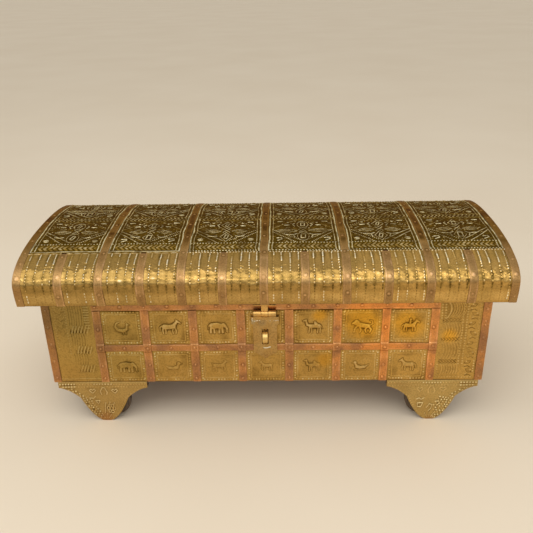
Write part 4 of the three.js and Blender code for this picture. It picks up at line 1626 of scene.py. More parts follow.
        # Grimy slanted strokes between the tiers.
        for low, high, lean in ((103.5, 108, 1.4), (84, 88, 1.2), (61, 65.5, 1.6)):
            relief.chevrons((left + 3, left + 19.5), (low, high), 2.8, -lean, 0.6, -0.28)
        for across in (left + 21.0, left + 24.4):
            relief.beads((across, 124.5), (across, 60), 0.42, 0.95)
        for number, along in enumerate((120.5, 111.5, 102.0, 92.0, 82.0, 72.0, 62.0, 53.0)):
            sway, turn = (0.9, 1.6) if number % 2 else (-0.9, -1.2)
            across = left + 30.2 + sway
            relief.leaf((across - 2.8, along + turn), (across + 2.8, along - turn), 1.5, 0.45, -0.2)
            relief.boss((across + turn, along + 0.8), (1.0, 0.8), 0.34)
            stalk = ((across - 2.6, along - 5.0), (across + 0.6, along - 4.0), (across + 2.4, along - 5.4))
            relief.ridge(stalk, 0.5, -0.2)
            relief.boss((across - 2.0, along - 3.2), (0.8, 0.8), 0.3)
        relief.beads((right - 1.9, 124), (right - 1.9, 66), 0.25)
        relief.beads((right - 1.9, 63), (right - 1.9, 52), 0.7, 0.95)
        relief.beads((left + 2, 46.2), (right - 2, 46.2), 0.35)

    def outer_panel(self, side: int) -> None:
        """Make the plain-edged panel between the last strap and the corner.

        Args:
            side: -1 for the left one, 1 for the right.
        """
        ends = sorted((side * (self.outer[0] - self.under), side * self.outer[1]))
        relief = Relief.sheet(ends, self.height, self.step)
        relief.unsteady(0.4, 12, 31 + side)
        if side < 0:
            self.left_outer_marks(relief)
        else:
            self.right_outer_marks(relief)
        relief.dent(14, 0.16, 50 + side)
        name = "front_left_outer_panel" if side < 0 else "front_right_outer_panel"
        self.add(name, "front", relief, relief.tone(0.3, 5, 0.24, 0.5))

    def hidden_sheets(self) -> None:
        """Make the two sides, and the back in two halves that meet under its middle.

        Each square has a bead border, a lozenge and a rosette.
        """
        side, back = (-64.0, -21.5, 21.5, 64.0), (0.0, 42.5, 85.0, 127.5, 171.0)
        for name, face, limits, columns, half, seed in (
            ("left_side_sheet", "left", (-84.6, 84.6), side, 17.5, 71),
            ("right_side_sheet", "right", (-84.6, 84.6), side, 17.5, 72),
            ("back_sheet_left", "back", (0.0, 195.4), back, 17.0, 81),
            ("back_sheet_right", "back", (-195.4, 0.0), [-centre for centre in back], 17.0, 79),
        ):
            relief = Relief.sheet(limits, self.height, 0.7)
            relief.unsteady(0.4, 14, seed)
            for centre in columns:
                for low, high in self.rows:
                    border = box_ring(centre - half + 2.4, centre + half - 2.4, low + 2.4, high - 2.4)
                    for start, end in pairwise(border):
                        relief.beads(start, end, 0.5, 1.0, 2.8)
                    middle = (centre, (low + high) / 2)
                    relief.lozenge(middle, (half - 5.4, (high - low) / 2 - 5), 0.8, 0.4)
                    relief.figure(Stamp(ROSETTE, 0.75, height=0.45), middle)
            relief.dent(17, 0.18, seed + 5)
            self.add(name, face, relief, relief.tone(0.32, 4))

    def build(self) -> None:
        """Make every panel."""
        for index in range(7):
            self.front_column(index)
        self.outer_panel(-1)
        self.outer_panel(1)
        self.hidden_sheets()


@dataclass(frozen=True)
class BodyStraps:
    """The copper strapwork nailed over the body's sheet.

    Attributes:
        face_y: Where the front and back straps' rise is nought.
        face_x: Where the side straps' rise is nought.
        height: Lower and upper ends of the corner straps and of the uprights on the sides and back.
        front_top: Upper end of the front uprights.
        width: Width of a strap.
        pitch: Distance between the front uprights.
        cross_z: Height of the cross straps' middle.
        cross_width: Their width.
        top_z: Height of the top strap's middle.
        corner: Where the outsides of two corner faces would meet, in X and Y.
        nail_inset: How far in from there the corner straps' nails stand.
        nails: The body's nails.
    """

    face_y: float = 85.75
    face_x: float = 196.75
    height: Pair = (43.6, 125.4)
    front_top: float = 117.8
    width: float = 7.4
    pitch: float = 42.5
    cross_z: float = 79.75
    cross_width: float = 6.7
    top_z: float = 121.75
    corner: Pair = (197.0, 86.0)
    nail_inset: float = 3.8
    nails: NailBag = field(default_factory=NailBag)

    def add(self, name: str, shells: Sequence[Shell], stands_for: Sequence[str] = ()) -> None:
        """Add a piece of strapwork in body copper."""
        add_piece(name, shells, BODY_COPPER, Body.CHEST, stands_for)

    def front(self) -> None:
        """Make the eight straps that pass over the cross strap, then the top strap and the cross strap."""
        ground = FlatGround.face("front", self.face_y)
        uprights = [(k - 3.5) * self.pitch for k in range(8)]
        for index, centre in enumerate(uprights):
            strap = Strap(
                centre=centre, along=(self.height[0], self.front_top), width=self.width, seed=200 + 7 * index,
                nails=(47.0, 61.0, self.cross_z, 99.5), hump=(self.cross_z, 3.4, 0.9),
            )
            self.add(f"front_upright_{index + 1}", [strap.shell(ground, self.nails)], (f"front_strap_{index + 1}",))
        columns = [(k - 3) * self.pitch for k in range(7)]
        reach = 3.5 * self.pitch + self.width / 2
        # The hasp hangs over the top strap's middle, where it has no nails.
        top_nails = tuple(sorted(x for x in columns + uprights if abs(x) > 12))
        top = Strap(-self.top_z, (-reach, reach), self.width, top_nails, 301)
        cross = Strap(-self.cross_z, (-reach, reach), self.cross_width, tuple(x for x in columns if x), 302)
        for kind, band in (("top", top), ("cross", cross)):
            self.add(f"front_{kind}_band", [band.shell(ground.turned(), self.nails)], (f"front_{kind}_strap",))

    def corner_fold(self, sign_x: int, sign_y: int, seed: int) -> Shell:
        """Fold a strap round an upright edge, so that the fold wavers by smooth noise along its height.

        Args:
            sign_x: The side of the chest along X.
            sign_y: The side along Y.
            seed: Picks how it wavers.

        Returns:
            The closed strap.
        """
        section, t, outside = folded_section(self.width, 1.3, 0.5, 0.0)
        height = np.linspace(*self.height, 120)[:, None]
        wave = value_noise(t * 6 + 0 * height, height + 0 * t, 9, seed) * 0.12
        edge = 0.22 * np.clip((np.abs(t) - 0.85) / 0.15, 0, 1)
        inwards = outside * (wave + edge + 0.12)
        x = sign_x * (self.corner[0] - section[:, 0] - inwards * (t >= 0))
        y = sign_y * (self.corner[1] - section[:, 1] - inwards * (t < 0))
        rings = np.stack([x, y, height + 0 * x], axis=-1)
        if sign_x * sign_y < 0:
            rings, t = rings[:, ::-1], t[::-1]
        # The fold is bright down its middle, rubbed and partly a painted highlight.
        return carried_shell(rings, 0.5 + 0.3 * np.exp(-((t / 0.12) ** 2)) + 1.25 * wave)

    def corners(self) -> None:
        """Make the four corner straps and gather their nails."""
        for number, (end, side) in enumerate((e, s) for e in ("front", "back") for s in ("left", "right")):
            sign_x, sign_y = (1 if side == "right" else -1), (1 if end == "back" else -1)
            heights = (47.5, 60.0, 73.5, 88.0, 101.0, 104.5, 117.0) if sign_x > 0 else (48.0, 66.0, 84.0, 102.0, 119.0)
            across, depth = (sign_x * sign_y * (edge - self.nail_inset) for edge in self.corner)
            self.nails.add(FlatGround.face(end, self.face_y), [(-across, height) for height in heights], 0.0)
            self.nails.add(FlatGround.face(side, self.face_x), [(depth, height) for height in (50, 70, 94, 118)], 0.0)
            node = f"{end}_{side}_corner"
            stands_for = (f"{node}_strap",) if sign_y < 0 else ()
            self.add(f"{node}_fold", [self.corner_fold(sign_x, sign_y, 320 + number)], stands_for)

    def hidden_bands(self) -> None:
        """Make the uprights and cross straps of the sides and back."""
        back = tuple((k - 3.5) * self.pitch for k in range(8))
        for number, (face, distance, centres, reach) in enumerate(
            (
                ("left", self.face_x, (-43.0, 0.0, 43.0), 78.2),
                ("right", self.face_x, (-43.0, 0.0, 43.0), 78.2),
                ("back", self.face_y, back, 189.2),
            )
        ):
            ground, seed = FlatGround.face(face, distance), 400 + 40 * number
            straps = [
                (ground, Strap(x, self.height, self.width, (47.5, 62.0, 79.75, 100.0, 121.5), seed + 3 * k, step=0.8))
                for k, x in enumerate(centres)
            ]
            # The cross strap is cut where the uprights pass over it, and runs under the corner straps.
            lows = [-reach] + [x + self.width / 2 for x in centres]
            highs = [x - self.width / 2 for x in centres] + [reach]
            for k, (low, high) in enumerate(zip(lows, highs)):
                nails = ((low + high) / 2,)
                band = Strap(-self.cross_z, (low, high), self.cross_width, nails, seed + 20 + 3 * k, step=0.8)
                straps.append((ground.turned(), band))
            shells = [strap.shell(laid_on, self.nails) for laid_on, strap in straps]
            self.add(f"{face}_strapwork", shells, (f"{face}_straps",))

    def build(self) -> None:
        """Make every strap, then drive all the nails."""
        self.front()
        self.corners()
        self.hidden_bands()
        self.add("body_nails", [self.nails.shell(11)])


# The lid.


@dataclass(frozen=True)
class LidCladding:
    """The embossed brass over the lid: top panels, the dashed skirt, the rear and the two ends.

    Attributes:
        pitch: Distance between the long straps.
        strap: Width of a strap.
        depth: How far the sheet lies under the lid's outline.
        border: Where the skirt meets the top panels, round the lid.
        rear: Where the top panels end, round the lid.
        under: How far a panel reaches under a strap.
        field_reach: Half the length of a lozenge field, round the lid.
        hem: Height of the end sheets' lower edge.
        inset: How far an end sheet's dome lies inside the lid's outline.
    """

    pitch: float = 70.4167
    strap: float = 7.5
    depth: float = 1.05
    border: float = 58.7
    rear: float = 195.2
    under: float = 1.6
    field_reach: float = 24.5
    hem: float = 126.1
    inset: float = 6.0

    def centre(self, index: int) -> float:
        """X of a panel's middle."""
        return (index - 2.5) * self.pitch

    def add(
        self, name: str, finish: Finish, ground: Ground, relief: Relief, tone: np.ndarray, node: Sequence[str] = ()
    ) -> None:
        """Lay a worked panel on the lid."""
        add_piece(name, [sheet_shell(ground, relief, 0.35, tone)], finish, Body.LID, node)

    def field_half(self, relief: Relief, side: int, middle: float, variant: int) -> None:
        """Chase one half of a field: its lozenge's double lines, a leaf at the waist, a bird, a corner curl.

        Args:
            relief: The panel.
            side: -1 for the left half, 1 for the right.
            middle: The field's middle, round the lid.
            variant: Changes the marks from panel to panel, 0 to 5.
        """

        def line(*points: Pair) -> list[Pair]:
            """Points measured from the field's middle, mirrored to this side."""
            return [(side * u, middle + v) for u, v in points]

        # On some panels the lozenge's lower sides are plain double lines, on others ropes of beads.
        roped = variant >= 3 if side < 0 else variant <= 3
        for inset in (0.0, 4.6):
            edge = line((27.8, inset - 4.5), (7.0 - inset, 0.7 * inset - self.field_reach))
            if roped:
                relief.beads(*edge, 0.5, 0.8, 2.0)
            else:
                relief.ridge(edge, 0.55, 0.42)
        relief.ridge(line((27.8, 3.5), (5.0, self.field_reach)), 0.5, 0.24)
        if (variant + side) % 2:
            relief.beads(*line((25.0, 9.0), (11.0, self.field_reach - 3.0)), 0.36, 0.85, 2.6)
        relief.leaf(*line((5.0, -1.5), (26.0 if variant == 3 else 19.5, -2.0)), 3.0, 0.5, 0.4)
        if variant < 3:
            relief.ridge(line((8.5, -12.2), (12, -13.2), (16.5, -12)), 0.8, 0.58)
        else:
            relief.ridge(line((5.5, -8.5), (9.0, -11.0), (7.5, -15.5)), 0.75, 0.6)
            relief.ridge(line((9.0, -11.0), (15.5, -10.0)), 0.8, 0.6)
        u, v = side * (22.5 - variant % 2), middle - self.field_reach + 5.5
        if (variant + side) % 2:
            relief.boss((u, v), (3.3, 2.9), 0.62)
            relief.ridge(((u - 2.4, v - 0.9), (u + 2.8, v + 0.4)), 0.5, -0.5)
        else:
            relief.ridge(((u - 2.6, v + 2.2), (u + 1.8, v + 2.6), (u + 2.4, v), (u - 1.8, v - 2.4)), 0.75, 0.6)
        relief.ridge(line((12.5, 10.5), (16.8, 10.0)), 0.85, 0.72)
        relief.ridge(line((7.5, 8.0), (9.5, 12.0), (7.5, 14.5)), 0.7, 0.55)
        relief.ridge(line((19.0, self.field_reach - 5.0), (23.5, self.field_reach - 5.4)), 0.85, 0.72)
        relief.boss(*line((14.0, self.field_reach - 7.5)), (1.3, 1.6), 0.5)
        relief.ridge(line((-3.2, -4.0), (3.2, 4.0)), 0.55, 0.4)

    def lozenge_field(self, relief: Relief, middle: float, variant: int) -> None:
        """Chase one field: its two halves, then a framed seal in each point of the lozenge.

        Args:
            relief: The panel.
            middle: The field's middle, round the lid.
            variant: Changes the marks from panel to panel, 0 to 5.
        """
        for side in (-1, 1):
            self.field_half(relief, side, middle, variant)
        turn = 0.8 if variant % 2 else -0.6
        seal = ((-2.1, -3.2 - turn), (1.0 + turn, -4.0), (2.2, 3.2 + turn), (-1.0 - turn, 4.0), (-2.1, -3.2 - turn))
        for along, tall in ((middle - 0.55 * self.field_reach, 1.0), (middle + 0.5 * self.field_reach, 0.85)):
            if variant % 3 == 0:
                relief.ring((0.0, along), (5.2, 8.6 * tall), 0.55, 0.42)
            else:
                relief.lozenge((0, along), (5.6, 9.0 * tall), 0.55, 0.36)
            relief.ridge([(u * tall, along + v * tall) for u, v in seal], 0.75, 0.6 * tall)

    def seeded_ground(self, relief: Relief, across: Pair, along: Pair, seed: int) -> None:
        """Fill the ground between the main marks with low dots and short strokes, as a busy punch leaves it.

        Args:
            relief: The panel.
            across: Where the filling begins and ends, across.
            along: Where it begins and ends, round the lid.
            seed: Picks the marks.
        """
        rng = np.random.default_rng(seed)
        for row in np.arange(*along, 4.6):
            for place in np.arange(*across, 3.6):
                u, v = place + rng.uniform(-1.2, 1.2), row + rng.uniform(-1.6, 1.6)
                height = rng.uniform(0.08, 0.3)
                if rng.random() < 0.5:
                    relief.boss((u, v), (rng.uniform(0.7, 1.2), rng.uniform(0.9, 1.6)), height)
                else:
                    lean = rng.uniform(-1.0, 1.0)
                    relief.ridge(((u - 1.3, v - lean), (u + 1.3, v + lean)), 0.5, height)

    def top_panel(self, index: int) -> None:
        """Make one panel between two long straps, over the dome.

        Args:
            index: Which panel from the left, from 0 to 5.
        """
        half = (self.pitch - self.strap) / 2
        relief = Relief.sheet((-half - self.under, half + self.under), (self.border, self.rear), 0.45)
        relief.unsteady(0.55, 16, 500 + index)
        inner = half - 1.6
        for band in ((61.4, 71.2), (184.6, 193.0)):
            relief.chevrons((-inner, inner), band, 4.1 if index else 4.6, 0.8, 0.8, -0.2)
            relief.wash(band, -0.3, 1.0)
        for along, height in ((72.4, 0.42), (183.4, 0.42), (194.0, 0.5)):
            relief.beads((-inner, along), (inner, along), height, 0.9)
        if index < 2:
            relief.ridge(((-inner, 60.0), (inner, 60.0)), 0.9, 0.3)
        else:
            relief.beads((-inner, 60.2), (inner, 60.2), 0.5, 0.9)
        self.seeded_ground(relief, (-inner + 4, inner - 3), (75, 182), 580 + index)
        self.lozenge_field(relief, 97.4, index)
        for along in (122.6, 133.4):
            relief.ridge(((-inner, along), (inner, along)), 0.5, 0.24)
        relief.chevrons((-inner, inner), (123.4, 127.8), 3.6, 0.9, 0.7, 0.3)
        relief.chevrons((-inner, inner), (128.2, 132.6), 3.6, -0.9, 0.7, 0.3)
        self.lozenge_field(relief, 158.4, (index + 3) % 6)
        for side in (-1, 1):
            relief.ridge(((side * (half - 0.5), 58), (side * (half - 0.5), 196)), 0.85, 0.58)
            relief.ridge(((side * (half - 3.6), 61), (side * (half - 3.6), 194)), 0.55, 0.34)
        # The channel between the two lines beside a strap is as clean as the ground.
        relief.grime_and_shade -= 0.5 * np.clip(1 - np.abs(np.abs(relief.across) - half + 2.1) / 1.7, 0, 1)
        for cell, amount, seed in ((15, 0.1, 520), (5, 0.06, 540), (2.4, 0.05, 560)):
            relief.dent(cell, amount, seed + index)
        ground = LidGround(self.centre(index), self.depth)
        node = () if index else ("lid_sheet",)
        self.add(f"lid_top_panel_{index + 1}", LID_BRASS, ground, relief, relief.tone(0.22, 4, 0.56, 0.34), node)

    def dash_lines(self, relief: Relief, places: Sequence[float], along: Pair, seed: int) -> None:
        """Punch upright rows of dashes: long bright ones at the border, then short ones, then sunk ones.

        Args:
            relief: The sheet.
            places: Where the rows stand.
            along: Where they begin and end, round the lid; the long dashes are at the end.
            seed: Picks how strong each row and each dash is.
        """
        way = 1 if along[1] > along[0] else -1
        rng = np.random.default_rng(seed)
        for number, across in enumerate(places):
            lean = 0.6 * math.sin(seed + 2.1 * number)
            start, fold = (across, along[0]), (across + 0.3 * lean, along[0] + way * 18)
            turn, end = (across + 0.6 * lean, along[1] - way * rng.uniform(9, 17)), (across + lean, along[1])
            relief.dashes(start, fold, 2.9, 2.3, 0.55, float(rng.choice([-0.35, -0.25, 0.35])), seed + number)
            relief.dashes(fold, turn, 2.9, 2.1, 0.66, rng.uniform(0.42, 0.7), seed + 30 + number)
            relief.dashes(turn, end, 7.6, 7.5, 0.72, rng.uniform(0.7, 0.9), seed + 50 + number)

    def buckle_skirt(self, relief: Relief, places: Sequence[float], index: int) -> None:
        """Pillow the skirt between its rows, buckle it where it was bent over the shoulder, and paint shade there.

        Args:
            relief: The sheet.
            places: Where its rows of dashes stand.
            index: Which half panel from the left, from 0 to 11.
        """
        crease = np.exp(-(((relief.along - 26.0) / 9.0) ** 2))
        buckle = 1.3 * relief.noise(8.0, 660 + index, 1.3) + 0.75 * relief.noise(6.5, 680 + index, 2.6)
        cell = (relief.across - places[0]) / (places[1] - places[0]) % 1
        pillow = 0.2 * (1 - (2 * cell - 1) ** 2) * np.clip((relief.along - 14) / 8, 0, 1)
        relief.rise = np.minimum(relief.rise + pillow + 0.15 * crease * buckle - 0.06, 0.95)
        # Painted shade along each row and in patches over the shoulder breaks up its highlight.
        for place in places:
            relief.grime_and_shade += 0.42 * crease * np.exp(-(((relief.across - place) / 1.1) ** 2))
        relief.grime_and_shade += 0.6 * crease * np.clip(relief.noise(7.0, 690 + index, 3.2), -0.25, 0.85)

    def skirt_panel(self, index: int) -> None:
        """Make one half panel of the lid's front, between a long strap and a short one.

        Args:
            index: Which half panel from the left, from 0 to 11.
        """
        half = self.pitch / 2
        reach = (half - self.strap) / 2
        relief = Relief.sheet((-reach - self.under, reach + self.under), (0.3, self.border), 0.45)
        relief.unsteady(0.35, 11, 600 + index)
        # Painted dark reflections under the border and below the fold, a painted reflection of the pale floor on the
        # hem, and a dark line along its lower edge.
        relief.wash((49, 57), 0.16, 6)
        relief.wash((13.5, 20.5), 0.3, 3)
        relief.wash((1.5, 12), -0.3, 4)
        relief.wash((-1, 1.5), 0.4, 0.6)
        places = [-reach + share * 2 * reach for share in (0.15, 0.42, 0.69, 0.93)]
        self.dash_lines(relief, places, (3.0, 56.0), 620 + 9 * index)
        if index < 4:
            relief.ridge(((-reach - 1, 57.5), (reach + 1, 57.5)), 0.8, 0.24)
        else:
            relief.beads((-reach - 1, 57.5), (reach + 1, 57.5), 0.55, 0.9)
        relief.dent(12, 0.14, 640 + index)
        self.buckle_skirt(relief, places, index)
        # The hem is rolled.
        relief.rise += 0.12 * np.sin(np.pi * np.clip(1 - (relief.along - 0.3) / 1.2, 0, 1))
        ground = LidGround((index - 5.5) * half, self.depth)
        self.add(f"lid_skirt_panel_{index + 1}", SKIRT_BRASS, ground, relief, relief.tone(0.24, 4, 0.58))

    def rear_panel(self, index: int) -> None:
        """Make one panel of the lid's rear, below the top panels.

        Args:
            index: Which panel from the left, from 0 to 5.
        """
        half = (self.pitch - self.strap) / 2
        relief = Relief.sheet((-half - self.under, half + self.under), (self.rear, LID_GIRTH - 0.3), 0.6)
        relief.unsteady(0.4, 12, 700 + index)
        places = [-half + 1.8 + k * (2 * half - 3.6) / 7 for k in range(8)]
        self.dash_lines(relief, places, (LID_GIRTH - 3, 198.0), 720 + 9 * index)
        relief.dent(13, 0.15, 740 + index)
        ground = LidGround(self.centre(index), self.depth)
        self.add(f"lid_rear_panel_{index + 1}", SKIRT_BRASS, ground, relief, relief.tone(0.3, 4))

    def end_sheet(self, face: str) -> None:
        """Make the sheet on one end of the lid, cut to the dome inside its edge strap.

        Each upright column of the grid reaches from the hem to the inset outline.

        Args:
            face: "left" or "right".
        """
        front_half = LID_TABLE[: len(LID_TABLE) // 2]
        _, y, z, normal_y, normal_z = front_half[front_half[:, 0] > 20].T
        inset_y, inset_z = y - self.inset * normal_y, z - self.inset * normal_z
        across = np.linspace(-86.4, 86.4, 260)
        top = np.interp(-np.abs(across), inset_y, inset_z)
        along = self.hem + np.linspace(0, 1, 72)[:, None] * (top - self.hem)
        relief = Relief(across + 0 * along, along)
        relief.unsteady(0.4, 14, 760)
        relief.beads((-82, 129.5), (82, 129.5), 0.45, 1.0, 2.8)
        for inward in (3.5, 7.5):
            front = list(zip((inset_y - inward * normal_y)[::45], (inset_z - inward * normal_z)[::45]))
            relief.ridge(front + [(-u, v) for u, v in front[::-1]], 0.8, 0.42)
        relief.ridge(((-30, 143), (0, 132.5), (30, 143), (0, 154), (-30, 143)), 0.8, 0.45)
        relief.ring((0, 143.2), (7.5, 6.0), 0.8, 0.45)
        relief.figure(Stamp(ROSETTE, 0.65, height=0.45), (0, 143.2))
        for side in (-1, 1):
            relief.leaf((side * 34, 141), (side * 56, 141), 4.0, 0.8, 0.45)
            relief.leaf((side * 60, 139), (side * 76, 136), 2.6, 0.8, 0.42)
            relief.leaf((side * 12, 143), (side * 25, 143), 3.0, 0.8, 0.4)
        relief.dent(16, 0.12, 770)
        ground, node = FlatGround.face(face, 213.8), (f"lid_{face}_end_sheet",)
        self.add(f"lid_{face}_end_panel", BODY_BRASS, ground, relief, relief.tone(0.3, 3), node)

    def build(self) -> None:
        """Make every panel of the lid."""
        for index in range(6):
            self.top_panel(index)
        for index in range(12):
            self.skirt_panel(index)
        for index in range(6):
            self.rear_panel(index)
        self.end_sheet("left")
        self.end_sheet("right")


@dataclass(frozen=True)
class LidStraps:
    """The thirteen copper straps of the lid and their nails.

    Attributes:
        pitch: Distance between neighbouring straps.
        width: Width of a strap.
        depth: How far a strap's rise of nought lies under the lid's outline.
        end_x: X of the lid's end faces.
        short_end: Where the short straps end, round the lid.
        nails: The lid's nails.
        shoulder: The broad nails along the shoulder, hammered flat.
    """

    pitch: float = 35.2083
    width: float = 7.4
    depth: float = 0.45
    end_x: float = 215.0
    short_end: float = 56.0
    nails: NailBag = field(default_factory=lambda: NailBag(1.5, 0.34))
    shoulder: NailBag = field(default_factory=lambda: NailBag(2.6, 0.34))

    def edge_strap(self, side: int) -> Shell:
        """Fold an end strap over the lid's edge: its section is carried round the outline.

        A point of the section lies so far in from the end face and so far under the outline.

        Args:
            side: -1 for the left end, 1 for the right.

        Returns:
            The closed strap.
        """
        section, t, outside = folded_section(self.width, 0.9, 0.45, 0.4)
        along = np.linspace(0.3, LID_GIRTH - 0.3, 400)[:, None]
        wave = 0.1 * value_noise(t * 7 + 0 * along, along + 0 * t, 10, 900 + side)
        drop = outside * (np.clip(wave, -0.1, 0.1) + 0.25 * np.clip((np.abs(t) - 0.88) / 0.12, 0, 1))
        from_end = section[:, 0] + drop * (t > 0.1)
        under = section[:, 1] + drop * (t < -0.1)
        y, z, normal_y, normal_z = on_outline(along)
        rings = np.stack([side * (self.end_x - from_end), y - under * normal_y, z - under * normal_z], axis=-1)
        if side > 0:
            rings, t = rings[:, ::-1], t[::-1]
        # Painted shade over the dome, and a painted highlight down the fold.
        painted_shade = 0.34 * np.clip((along - 50) / 34, 0, 1)
        return carried_shell(rings, 0.5 + 0.3 * np.exp(-((t / 0.12) ** 2)) + 1.2 * wave - painted_shade)

    def edge_nails(self, side: int) -> None:
        """Drive the nails of an end strap, on the dome and on the end face.

        Args:
            side: -1 for the left end, 1 for the right.
        """
        ground = LidGround(side * (self.end_x - 4.0), self.depth)
        dome = (7, 44, 58, 79, 100, 121, 142, 163, 184, 200, 217, 236)
        self.nails.add(ground, [(0.3, along) for along in dome], -0.05)
        self.shoulder.add(ground, [(0.2, 28)], 0.0)
        y, z, normal_y, normal_z = on_outline(np.arange(10, LID_GIRTH - 8, 22.0))
        places = list(zip((y - 4.2 * normal_y) * side, z - 4.2 * normal_z))
        self.nails.add(FlatGround.face("left" if side < 0 else "right", self.end_x - 0.5), places, 0.0)

    def build(self) -> None:
        """Make every strap, then drive all the nails."""
        kinds = (
            ("long", LID_GIRTH - 0.3, (12.0, 57.0, 84.0, 112.0, 140.0, 168.0, 193.0, 216.0, 236.0)),
            ("short", self.short_end, (10.5, 52.5)),
        )
        for index in range(13):
            kind, end, nails = kinds[index % 2]
            if index in (0, 12):
                side = index // 6 - 1
                shell = self.edge_strap(side)
                self.edge_nails(side)
            else:
                strap = Strap(
                    centre=0.0, along=(0.3, end), width=self.width, nails=nails, seed=930 + 5 * index, thickness=0.38,
                    painted_shade=(50.0, 84.0, 0.34),
                )
                ground = LidGround((index - 6) * self.pitch, self.depth)
                shell = strap.shell(ground, self.nails)
                self.shoulder.add(ground, [(0.3 * math.sin(index), 28.0 + math.sin(2 * index))], 0.0)
            node = (f"lid_{kind}_strap_{index + 1}",)
            add_piece(f"lid_{kind}_band_{index + 1}", [shell], LID_COPPER, Body.LID, node)
        add_piece("lid_nails", [self.nails.shell(12), self.shoulder.shell(13)], LID_COPPER, Body.LID)


# Feet, wheels, fittings and wood.


@dataclass(frozen=True)
class Feet:
    """Bracket feet: embossed plates in front, stained boards behind them.

    Attributes:
        centre: X of a foot's middle.
        width: Width at the top.
        height: Height of the plate.
        shoulder: Height where the ogee begins.
        waist: Half width and height of the ogee's turn.
        tip: Half the width of the flat tip.
        face_y: Where the plate lies.
    """

    centre: float = 152.0
    width: float = 83.0
    height: float = 43.5
    shoulder: float = 37.0
    waist: Pair = (22.25, 25.7)
    tip: float = 3.0
    face_y: float = 85.8

    def half_width(self, heights: np.ndarray) -> np.ndarray:
        """Half the plate's width at each height.

        Two Bezier stretches make the ogee, with the control shares of the part's source: a point at t is
        the usual cubic mix of the two ends and two controls.

        Args:
            heights: Heights over the floor.

        Returns:
            Half widths.
        """
        t = np.linspace(0, 1, 80)[:, None]
        knots = np.array([[self.tip, 0.0], self.waist, [self.width / 2, self.shoulder]])
        shares = (((0.42, 0.06), (0.81, 0.66)), ((0.24, 0.45), (0.67, 0.95)))
        curve = []
        for (start, end), (first, second) in zip(pairwise(knots), shares):
            one, two = start + np.array(first) * (end - start), start + np.array(second) * (end - start)
            curve.append((1 - t) ** 3 * start + 3 * t * (1 - t) ** 2 * one + 3 * t * t * (1 - t) * two + t**3 * end)
        outline = np.concatenate(curve)
        return np.interp(heights, outline[:, 1], outline[:, 0], right=self.width / 2)

    def edge_dots(self, relief: Relief, side: int) -> None:
        """Punch rows of dots along the outer ogee, and a single row along the inner.

        Args:
            relief: The plate.
            side: -1 for the left foot, 1 for the right.
        """
        rng = np.random.default_rng(830 + side)
        levels = np.arange(2.5, 36.5, 2.3)
        edge = self.half_width(levels) - 2.0
        for row in range(5 if side > 0 else 3):
            for level, place in zip(levels, edge):
                strength = rng.uniform(0.2, 0.75)
                off = place - 2.7 * row
                if off > 3 and level < (36 if row < 2 else 24):
                    spot = (side * off + rng.uniform(-0.4, 0.4), level + 0.5 * row + rng.uniform(-0.4, 0.4))
                    relief.boss(spot, (0.85, 0.85), strength)
                if row == 0 and place > 4:
                    relief.boss((-side * place, level), (0.7, 0.7), 0.25)

    def middle_marks(self, relief: Relief, side: int) -> None:
        """Chase the marks in a plate's middle: a loop and two hearts, then strokes of each foot's own.

        Args:
            relief: The plate.
            side: -1 for the left foot, 1 for the right.
        """
        strength = 1.0 if side < 0 else 0.45
        loop = (
            (-2.5, 29.5), (-3.2, 33.0), (-1.8, 35.5), (-1.0, 37.0), (1.0, 37.0), (2.2, 34.5), (3.2, 32.0), (2.4, 29.5),
        )
        relief.ridge(loop, 0.6, 0.5 * strength)
        heart = ((0, 31.0), (-2.8, 34.0), (-1.6, 35.6), (0, 34.2), (1.6, 35.6), (2.8, 34.0), (0, 31.0))
        for middle in (-10.5, 10.5):
            relief.ridge([(middle + across, along) for across, along in heart], 0.55, 0.48 * strength)
        left_strokes = (
            (0.55, 0.48, ((-9.0, 22.4), (-4.8, 22.4), (-6.6, 18.6), (-9.0, 22.4))),
            (0.55, 0.42, ((-14, 26), (-10.5, 25), (-8.5, 27.5))),
            (0.55, 0.42, ((-1.5, 9), (0.5, 20))),
            (0.55, 0.42, ((2.5, 9), (4.5, 21))),
            (0.55, 0.42, ((6.0, 11), (8.5, 20))),
        )
        right_strokes = (
            (0.55, 0.42, ((-13.0, 22.5), (-10.5, 24.0), (-8.5, 22.0), (-6.0, 24.2))),
            (0.6, 0.48, ((-12.0, 18.0), (-7.0, 18.4), (-8.5, 13.5), (-11.5, 13.8), (-12.0, 18.0))),
            (0.55, 0.45, ((-3.0, 13.0), (-0.5, 17.5), (2.0, 16.5), (1.0, 12.0), (-1.0, 9.5))),
            (0.55, 0.45, ((4.5, 20.0), (7.5, 20.5), (8.5, 17.5), (6.0, 16.0))),
        )
        for width, height, points in left_strokes if side < 0 else right_strokes:
            relief.ridge(points, width, height)
        if side < 0:
            for number, twist in enumerate(np.linspace(0, 5, 6)):
                whorl = (5.0 + 2.6 * math.cos(twist), 13.5 + 3.4 * math.sin(twist))
                relief.ring(whorl, (1.4, 1.6), 0.45, 0.34 + 0.03 * number)
            for spot in ((-12.0, 12.5), (-8.6, 9.5), (-17.0, 19.5)):
                relief.stain(spot, (1.1, 1.0))
        for across, along in ((-2.8, 7.0), (0.0, 8.0), (2.8, 7.0)):
            relief.ridge(((across * 0.6, 2.5), (across * 1.5, along)), 0.5, 0.4)

    def plate(self, side: int) -> None:
        """Make the embossed plate of one front foot.

        Args:
            side: -1 for the left foot, 1 for the right.
        """
        heights = np.linspace(0.05, self.height, 108)[:, None]
        across = np.linspace(-1, 1, 190) * (self.half_width(heights) - 0.05)
        relief = Relief(across, heights + 0 * across)
        relief.unsteady(0.3, 9, 800 + side)
        for along, reach in ((40.9, 40.0), (38.0, 38.5)):
            relief.beads((-reach, along), (reach, along), 0.22, 0.8)
            relief.beads((side * 26.5, along), (side * reach, along), 0.7, 0.95)
        relief.beads((-8.0, 40.9), (9.0, 40.9), 0.6)
        self.edge_dots(relief, side)
        self.middle_marks(relief, side)
        relief.dent(9, 0.1, 805 + side)
        tone = relief.tone(0.3, 4, 0.5, 0.4)
